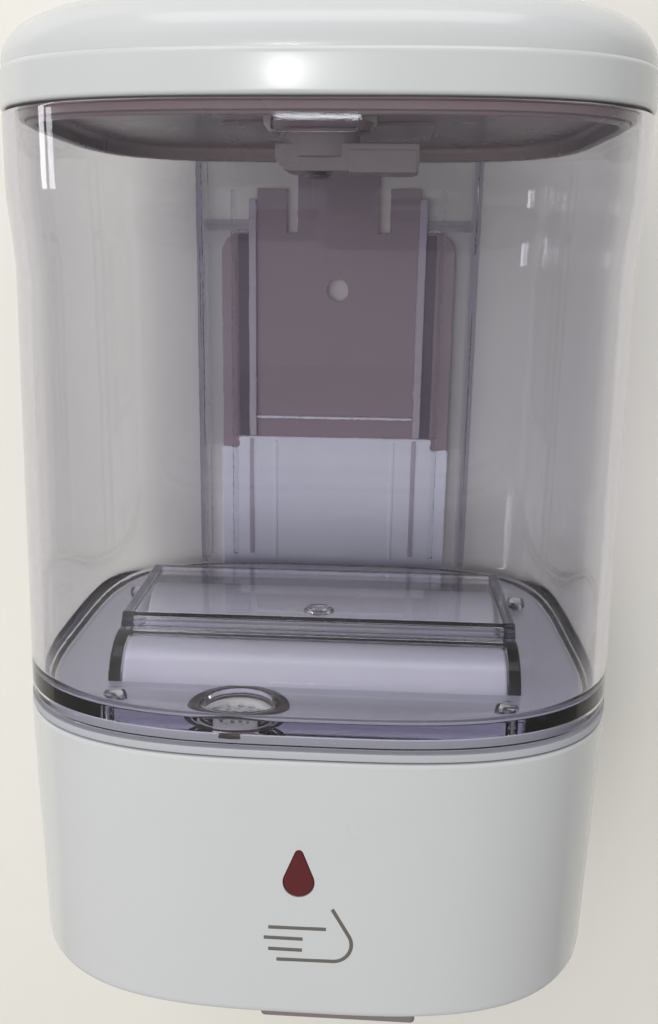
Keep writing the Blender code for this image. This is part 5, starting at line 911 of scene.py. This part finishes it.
def make_wall_plate():
    corner = arc((PLATE_HALF_WIDTH - 6.0, PLATE_TOP - 6.0), 6.0, 0, 90, 12)
    right = [(PLATE_HALF_WIDTH, PLATE_LOW), *corner, (22.8, PLATE_TOP), (22.8, 163.7), (14.3, 163.7),
             (14.3, PLATE_TOP), (11.3, PLATE_TOP), (11.3, 167.5)]
    whole = right + [(-x, z) for x, z in reversed(right)]
    wall = plate("wall_plate_fine", [whole], UPRIGHT, (0, -2.6, 0), 1.6, edge=0.3)
    join(wall, box("pad", (-20.0, -2.6, PLATE_LOW), (20.0, 0, PLATE_TOP - 6.0), edge=0.3))
    cut(wall, rod("screw_hole", "Y", (0, -6.0, 136.6), 8.0, 3.05, steps=64))
    return seat(wall, "plate", "plum_plate", "wall_plate")


def make_back_cover():
    right = [(PLATE_HALF_WIDTH, 8.0), (PLATE_HALF_WIDTH, 91.9), (28.0, 91.9), (28.0, 94.9)]
    whole = rounded(right + [(-x, z) for x, z in reversed(right)], 0.8)
    cover = plate("back_cover_fine", [whole], UPRIGHT, (0, -4.3, 0), 1.2, edge=0.25)
    for x in (-17.6, 16.4):
        join(cover, box("bead", (x, -5.3, 58.0), (x + 1.0, -4.6, 94.0), edge=0.2))
    # The back cover takes the lighter copy of the inner white as painted light
    return seat(cover, "housing", "white_inner", "back_cover", finish="white_panel")


def make_channel():
    """Channel on the tank's rear wall that the wall plate slides in: thick edges, rails and a ledge. The
    rails and the ledge belong to the clear tank but take opaque colours: painted highlight over the plate,
    painted shade over the back cover.
    """
    front, back = -5.1, -3.5
    for label, edge, rail, foot in (
        ("left", (-28.2, -25.0), (-24.9, -22.8), (-24.9, -23.6)),
        ("right", (24.7, 27.6), (22.4, 24.6), (22.4, 23.7)),
    ):
        thick = box("channel_edge_" + label, (edge[0], front, 95.3), (edge[1], back, 151.4), edge=0.3)
        seat(thick, "housing", "clear_tank", finish="channel_edge")
        # Upper rails: pale colour as painted highlight on the clear rails over the plate
        upper = box("channel_rail_" + label, (rail[0], front, 95.3), (rail[1], back, 161.0), edge=0.3)
        seat(upper, "housing", "clear_tank", finish="channel_pale")
        # Lower rails: the same pale colour, darker than the cover, as painted shade along the clear rails
        lower = box("channel_foot_" + label, (foot[0], -5.35, 59.5), (foot[1], -4.95, 94.6), edge=0.1)
        seat(lower, "housing", "clear_tank", finish="channel_pale")
    # Ledge: white as painted highlight along the clear ledge's edge
    ledge = box("channel_ledge", (-22.7, front, 100.5), (22.3, back, 101.1), edge=0.2)
    seat(ledge, "housing", "clear_tank", finish="white_panel")


wall_pieces = [make_wall_plate(), make_back_cover()]
make_channel()


# Underside of the base

def make_base_bottom():
    bottom = loft("base_bottom_fine", [
        (0.8, 6.0), (0.8, 3.9), (0.9, 3.6), (1.15, 3.42), (1.4, 3.4), (2.5, 3.4), (2.72, 3.5), (2.8, 3.8),
        (2.8, 6.0),
    ])
    cut(bottom, box("door_hole", (-36.2, -79.3, -0.2), (36.2, -54.7, 3.8)))
    hole = rectangle((-11.3, -124.3), (25.9, -99.7), 3.0, 8)
    cut(bottom, plate("housing_hole", [hole], FLAT, (0, 0, 1.8), 4.0))
    slot = rectangle((-41.6, -106.5), (-30.4, -101.5), 0.6)
    cut(bottom, plate("switch_hole", [slot], FLAT, (0, 0, 1.8), 4.0))
    for screw in BASE_SCREWS:
        bore(bottom, (*screw, -0.2), 4.0, 1.5, 32)
        cone = [(0, 0.5), (3.6, 0.5), (3.1, 1.0), (0, 1.0)]
        cut(bottom, turned("screw_seat", cone, (*screw, 0), steps=48))
    round_edges(bottom, 0.15, 2, angle=60)
    return seat(bottom, "housing", "white_shell", "base_bottom", angle=30)


def make_door():
    door = box("battery_door_fine", (-35.9, -79.0, 0.8), (35.9, -55.0, 2.4), edge=0.4)
    bore(door, (0, -79.0, -0.2), 1.8, 6.0, 64)
    for k in range(5):
        y = -71.0 + 1.7 * k
        join(door, box("ridge", (-6.0 + 0.7 * k, y, 0.52), (6.0 - 0.7 * k, y + 0.8, 1.4), edge=0.2))
    return seat(door, "door", "white_shell", "battery_door")


def make_nozzle_block():
    plan = rectangle((-11.0, -124.0), (25.6, -100.0), 3.0, 8)
    housing = plate("nozzle_housing_fine", [plan], FLAT, (0, 0, -2.6), 13.8, edge=0.6, steps=3)
    flange = rectangle((-12.6, -125.6), (27.2, -98.4), 3.0, 8)
    join(housing, plate("flange", [flange], FLAT, (0, 0, 3.7), 1.2, edge=0.2))
    hollow = rectangle((-9.4, -122.4), (24.0, -101.6), 1.4, 6)
    cut(housing, plate("hollow", [hollow], FLAT, (0, 0, -1.3), 13.2))
    bore(housing, (*NOZZLE, -10.5), 4.0, 4.3, 64)
    window = rectangle((8.4, -118.1), (22.6, -107.9), 1.0, 5)
    cut(housing, plate("window", [window], FLAT, (0, 0, -8.5), 6.0))
    seat(housing, "housing", "grey_plastic", "nozzle_housing", finish="clear_grey", angle=30)
    glass = rectangle((8.7, -117.8), (22.3, -108.2), 0.8, 5)
    seat(plate("sensor_window_fine", [glass], FLAT, (0, 0, -8.6), 1.2, edge=0.25),
         "housing", "sensor_window", "sensor_window")
    tip = turned("nozzle_tip_fine", [
        (1.4, 10.0), (1.9, 9.6), (2.4, 8.6), (2.05, 8.4), (2.05, 6.6), (2.4, 6.4), (2.4, -3.6), (2.7, -4.5),
        (3.3, -5.4), (4.0, -6.0), (5.0, -6.0), (5.2, -6.2), (5.2, -7.4), (5.0, -7.6), (4.0, -7.6),
        (4.0, -9.0), (3.85, -9.35), (3.5, -9.5), (2.2, -9.5), (1.7, -9.3), (1.4, -8.8),
    ], (*NOZZLE, 0), steps=80)
    seat(tip, "housing", "soft_silicone", "nozzle_tip")


def make_base_screws():
    for side, label, place in zip((-1, 1), ("left", "right"), BASE_SCREWS):
        screw = turned("base_screw_fine_" + label, [
            (0, 14.0), (0.4, 14.0), (1.2, 12.8), (1.2, 0.5), (2.6, 0.5), (2.7, 0.4), (2.6, 0.15),
            (2.2, 0.02), (0, 0.02),
        ], (*place, 0), steps=48)
        for turn in (15, 105):
            slot = box("cross", (-1.5, -0.3, -0.5), (1.5, 0.3, 0.34))
            cut_turned(screw, slot, "Z", turn * side, (*place, 0))
        seat(screw, "housing", "plated_steel", "base_screw_" + label)


def make_tank_screws():
    for number, place in enumerate(TANK_SCREWS, 1):
        screw = turned(f"tank_screw_fine_{number}", [
            (0, 59.2), (0.25, 59.2), (0.9, 58.3), (0.9, 53.7), (2.1, 53.7), (2.2, 53.6), (2.15, 52.8),
            (1.7, 52.35), (0, 52.3),
        ], (*place, 0), steps=40)
        seat(screw, "housing", "plated_steel", f"tank_screw_{number}")


def make_switch():
    knob = box("switch_knob_fine", (-40.6, -106.2, 0.4), (-35.4, -101.8, 6.0), edge=0.3)
    for k in range(4):
        x = -40.0 + 1.15 * k
        cut(knob, box("groove", (x, -107.0, 0.0), (x + 0.5, -101.0, 0.75)))
    seat(knob, "knob", "black_plastic", "switch_knob")
    soft_copy("switch_body", "black_plastic", "housing", edge=0.3)


make_base_bottom()
make_door()
make_nozzle_block()
make_base_screws()
make_tank_screws()
make_switch()


# Printed hand under the drop

def make_hand():
    """Open hand in thin grey lines: three fingers, and a palm that runs round to the thumb."""
    strokes = [
        [(-6.6, 17.4), (4.9, 17.48)],
        [(-7.5, 15.16), (0.3, 15.14)],
        [(-6.6, 12.77), (0.2, 12.74)],
        [(-4.9, 10.55), *arc((6.35, 14.3), 3.65, 270, 392, 22), (6.07, 21.8)],
    ]
    for number, stroke in enumerate(strokes):
        piece = wire(f"hand_line_{number}", [(x, height, 0) for x, height in stroke], 0.38)
        piece.data.transform(Matrix.Diagonal((1, 1, 0.16, 1)))
        for vertex in piece.data.vertices:
            x, height, proud = vertex.co
            on_wall = front_surface(x / MM, height / MM)
            vertex.co = on_wall + Vector((0, -proud, 0))
        seat(piece, "housing", "grey_plastic", finish="hand_print")


def front_surface(x, height):
    """Point on the outer front of the base at an x and a height."""
    half_width, depth = body_size(height)
    share = (1 - abs(x / half_width) ** FRONT_POWER) ** (1 / FRONT_POWER)
    return mm(x, -WIDEST_DEPTH - (depth - WIDEST_DEPTH) * share, height)


make_hand()


# Works inside the base

def make_cells():
    """Cells with a rolled crimp, a contact nub and a flat foot, head up and head down in turn."""
    for number in range(4):
        node = f"battery_cell_{number + 1}"
        low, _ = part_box(node)
        bottom = low[2] / MM + BASE_TO_ORIGIN
        head_up = number % 2 == 0
        profile = [(0, 50.5), (2.3, 50.5), (2.6, 50.35), (2.7, 50.0), (2.7, 49.35), (5.6, 49.35),
                   (6.1, 49.2), (6.6, 49.2), (7.0, 49.0), (7.2, 48.6), (7.25, 47.5), (7.25, 1.2),
                   (7.15, 0.5), (6.7, 0.1), (6.0, 0.0), (5.6, 0.3), (0, 0.3)]
        if not head_up:
            profile = [(radius, 50.5 - height) for radius, height in reversed(profile)]
        place = ((number - 1.5) * 16.2, -REAR_HUMP[0], 0)
        raised = [(radius, bottom + height) for radius, height in profile]
        seat(turned(node + "_fine", raised, place, steps=64), "housing", "cell_jacket", node)


def make_motor():
    can = rod("motor_can_fine", "X", (2.0, *MOTOR), 25.0, 10.0, edge=0.7, steps=96)
    y, z = MOTOR
    for side in (-1, 1):
        low, high = sorted((side * 7.5, side * 11.0))
        cut(can, box("flat", (1.0, y - 11.0, z + low), (28.0, y + 11.0, z + high)))
    cut(can, rod("hole", "X", (1.0, *MOTOR), 5.3, 1.3, steps=32))
    opening = rectangle((-2.5, 4.2), (2.5, 6.0), 0.8)
    for turn in (0, 180):
        vent = plate("vent", [opening], ALONG_X, (26.6, 0, 0), 1.6)
        cut_turned(can, vent, "X", turn, (0, *MOTOR))
    seat(can, "housing", "motor_case", "motor_can")


def make_tube():
    """Soft tube from the pump's lower port to the nozzle."""
    low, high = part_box("outlet_tube")
    start = Vector((-16.3, -89.5, high[2] / MM + BASE_TO_ORIGIN))
    end = Vector((*NOZZLE, low[2] / MM + BASE_TO_ORIGIN))
    bend = (start.z - end.z) / 2 - 2.6
    level = Vector((end.x - start.x, end.y - start.y, 0)).normalized()
    route = [start]
    quarter = [math.pi / 2 * step / 14 for step in range(15)]
    for angle in quarter:
        drop = Vector((0, 0, 2.6 + bend * math.sin(angle)))
        route.append(start - drop + level * bend * (1 - math.cos(angle)))
    for angle in quarter:
        rise = Vector((0, 0, 2.6 + bend * math.cos(angle)))
        route.append(end + rise - level * bend * (1 - math.sin(angle)))
    route.append(end)
    hose = wire("outlet_tube_fine", route, 3.5, steps=6)
    ends = Vector((0, 0, 1.0))
    cut(hose, wire("tube_bore", [start + ends, *route[1:-1], end - ends], 2.7, steps=6))
    seat(hose, "housing", "soft_silicone", "outlet_tube")


BODY_OF = {node: body for body, nodes in frame["record"]["behaviour"]["bodies"].items() for node in nodes}
make_cells()
make_motor()
make_tube()
for node, slot, edge in (
    ("battery_case", "black_plastic", 0.4),
    ("pump_body", "grey_plastic", 0.3),
    ("pump_cover", "grey_plastic", 0.3),
    ("motor_end_cap", "black_plastic", 0.4),
    ("motor_cradle", "grey_plastic", 0.3),
    ("inlet_cup", "grey_plastic", 0.3),
    ("inlet_sleeve", "soft_silicone", 0.3),
    ("main_board", "board_green", 0.1),
    ("sensor_board", "board_green", 0.1),
    ("indicator_led", "red_lens", 0.6),
    ("ir_emitter", "black_plastic", 0.6),
    ("ir_receiver", "black_plastic", 0.6),
    ("hinge_pin_left", "plated_steel", 0.2),
    ("hinge_pin_right", "plated_steel", 0.2),
    ("motor_shaft", "bright_metal", 0.15),
    ("driven_gear_pin", "bright_metal", 0.15),
):
    soft_copy(node, slot, BODY_OF[node], edge=edge)

NODE_SLOTS = {entry: slot for slot, entries in {
    "plated_steel": ["contact_top_left", "contact_top_right", "contact_bottom", "battery_spring_1",
                     "battery_spring_2", "battery_spring_3", "battery_spring_4"],
    "gear_plastic": ["drive_gear", "driven_gear"],
}.items() for entry in entries}
for node, slot in NODE_SLOTS.items():
    for material_slot in frame["nodes"][node].material_slots:
        material_slot.material = FINISH[slot]


# Floor, backdrop, light and camera

def stage_plane(name, centre, turn, size, colour):
    """Flat stage piece with a matt front; its back lets everything through."""
    shape = bmesh.new()
    bmesh.ops.create_grid(shape, x_segments=1, y_segments=1, size=size / 2)
    mesh = bpy.data.meshes.new(name)
    shape.to_mesh(mesh)
    shape.free()
    obj = new_object(name, mesh)
    obj.matrix_world = Matrix.Translation(centre) @ turn
    material, t, shader = blank_material(name)
    adjust(shader, Base_Color=(*colour, 1), Roughness=0.85, Specular_IOR_Level=0.1)
    geometry = add(t, "NewGeometry")
    clear = add(t, "BsdfTransparent")
    side = add(t, "MixShader")
    link(
        t,
        (geometry, "Backfacing", side, 0),
        (shader, 0, side, 1),
        (clear, 0, side, 2),
        (side, 0, t.nodes["Material Output"], "Surface"),
    )
    obj.data.materials.append(material)
    return obj


backdrop = stage_plane("backdrop", (0, 0.0005, 0.3), UPRIGHT, 2.4, (0.69, 0.675, 0.63))
floor = stage_plane("floor", (0, -0.9, -0.3), FLAT, 3.0, (0.50, 0.49, 0.475))


def linked(name, pieces):
    """Collection of pieces that a lamp lights, or that cast its shadows."""
    group = bpy.data.collections.new(name)
    for piece in pieces:
        group.objects.link(piece)
    return group


def lamp(name, place, target, size, power, colour=(1, 1, 1), mirrored=True, only=None, shape="RECTANGLE"):
    """Soft lamp; it can be kept out of reflections, or kept to some pieces."""
    light = bpy.data.lights.new(name, "AREA")
    light.shape = shape
    light.size, light.size_y = size
    light.energy = power
    light.color = colour
    obj = new_object(name, light)
    obj.location = place
    obj.rotation_euler = (Vector(target) - Vector(place)).to_track_quat("-Z", "Y").to_euler()
    obj.visible_glossy = mirrored
    obj.visible_transmission = mirrored
    if only:
        obj.light_linking.receiver_collection = linked(name, only)
    return obj


LAMP_TARGET = (0, -0.07, 0)
FRONT_FILL = (-0.1, -1.2, 0.02)
WARM_WHITE = (1.0, 0.99, 0.97)
for name, place in (("low_key", (-0.46, -1.15, 0.15)), ("high_key", (-0.46, -1.0, 0.95))):
    lamp(name, place, LAMP_TARGET, (0.8, 0.8), 6.0, WARM_WHITE, mirrored=False)
lamp("top", (0.0, -0.35, 1.1), LAMP_TARGET, (0.9, 0.6), 3, (0.94, 0.97, 1.0))
outer = (lid_piece, base_piece, backdrop, floor)
inner = [obj for obj in bpy.data.objects if obj.type == "MESH" and obj not in outer]
lamp("inside_fill", FRONT_FILL, LAMP_TARGET, (0.5, 0.5), 7.0, mirrored=False, only=inner)
lamp("wall_fill", FRONT_FILL, LAMP_TARGET, (0.5, 0.5), 4.0, mirrored=False, only=[backdrop])
lamp("lid_glint", (-0.113, -1.25, 0.225), (0, -0.12, 0.065), (0.03, 0.11), 0.6, only=[lid_piece],
     shape="ELLIPSE")
lamp("bar_glint", (-0.067, -1.25, 0.313), (0, -0.12, 0.05), (0.125, 0.009), 0.05, (0.9, 0.95, 1.0),
     only=[tank_piece])
lamp("left_window", (-0.9, -0.25, 0.35), LAMP_TARGET, (0.08, 0.6), 1.5, only=[tank_piece])
rear_fill = lamp("rear_fill", (-0.5, 1.0, 0.25), (0, 0, 0), (0.8, 0.8), 5.0, mirrored=False,
                 only=wall_pieces)
rear_fill.light_linking.blocker_collection = linked("rear_blockers", wall_pieces)

world = bpy.data.worlds.new("studio")
bpy.context.scene.world = world
world.use_nodes = True
adjust(world.node_tree.nodes["Background"], Color=(0.97, 0.98, 1.0, 1), Strength=0.37)

bpy.context.scene.view_settings.view_transform = "Standard"


CAMERA_PLACE = (0.012373, -0.314528, 0.029548)
CAMERA_TURN = (0.272, 0.068, 0.010)
LENS = 37.79
LENS_SHIFT = (0.02455, 0.03629)


def make_camera():
    """Camera at the photograph's place: turned a little, pitched down, rolled a little."""
    pitch, yaw, roll = CAMERA_TURN
    right = Vector((math.cos(yaw), math.sin(yaw), 0))
    forward = Vector((-math.sin(yaw), math.cos(yaw), 0))
    up = Vector((0, 0, 1))
    ahead = forward * math.cos(pitch) - up * math.sin(pitch)
    above = up * math.cos(pitch) + forward * math.sin(pitch)
    across = right * math.cos(roll) + above * math.sin(roll)
    upward = -right * math.sin(roll) + above * math.cos(roll)
    data = bpy.data.cameras.new("camera")
    data.sensor_width = 36.0
    data.sensor_fit = "AUTO"
    data.lens = LENS
    data.shift_x, data.shift_y = LENS_SHIFT
    data.clip_start = 0.01
    camera = new_object("camera", data)
    turn = Matrix((across, upward, -ahead)).transposed().to_4x4()
    camera.matrix_world = Matrix.Translation(CAMERA_PLACE) @ turn
    bpy.context.scene.camera = camera


make_camera()
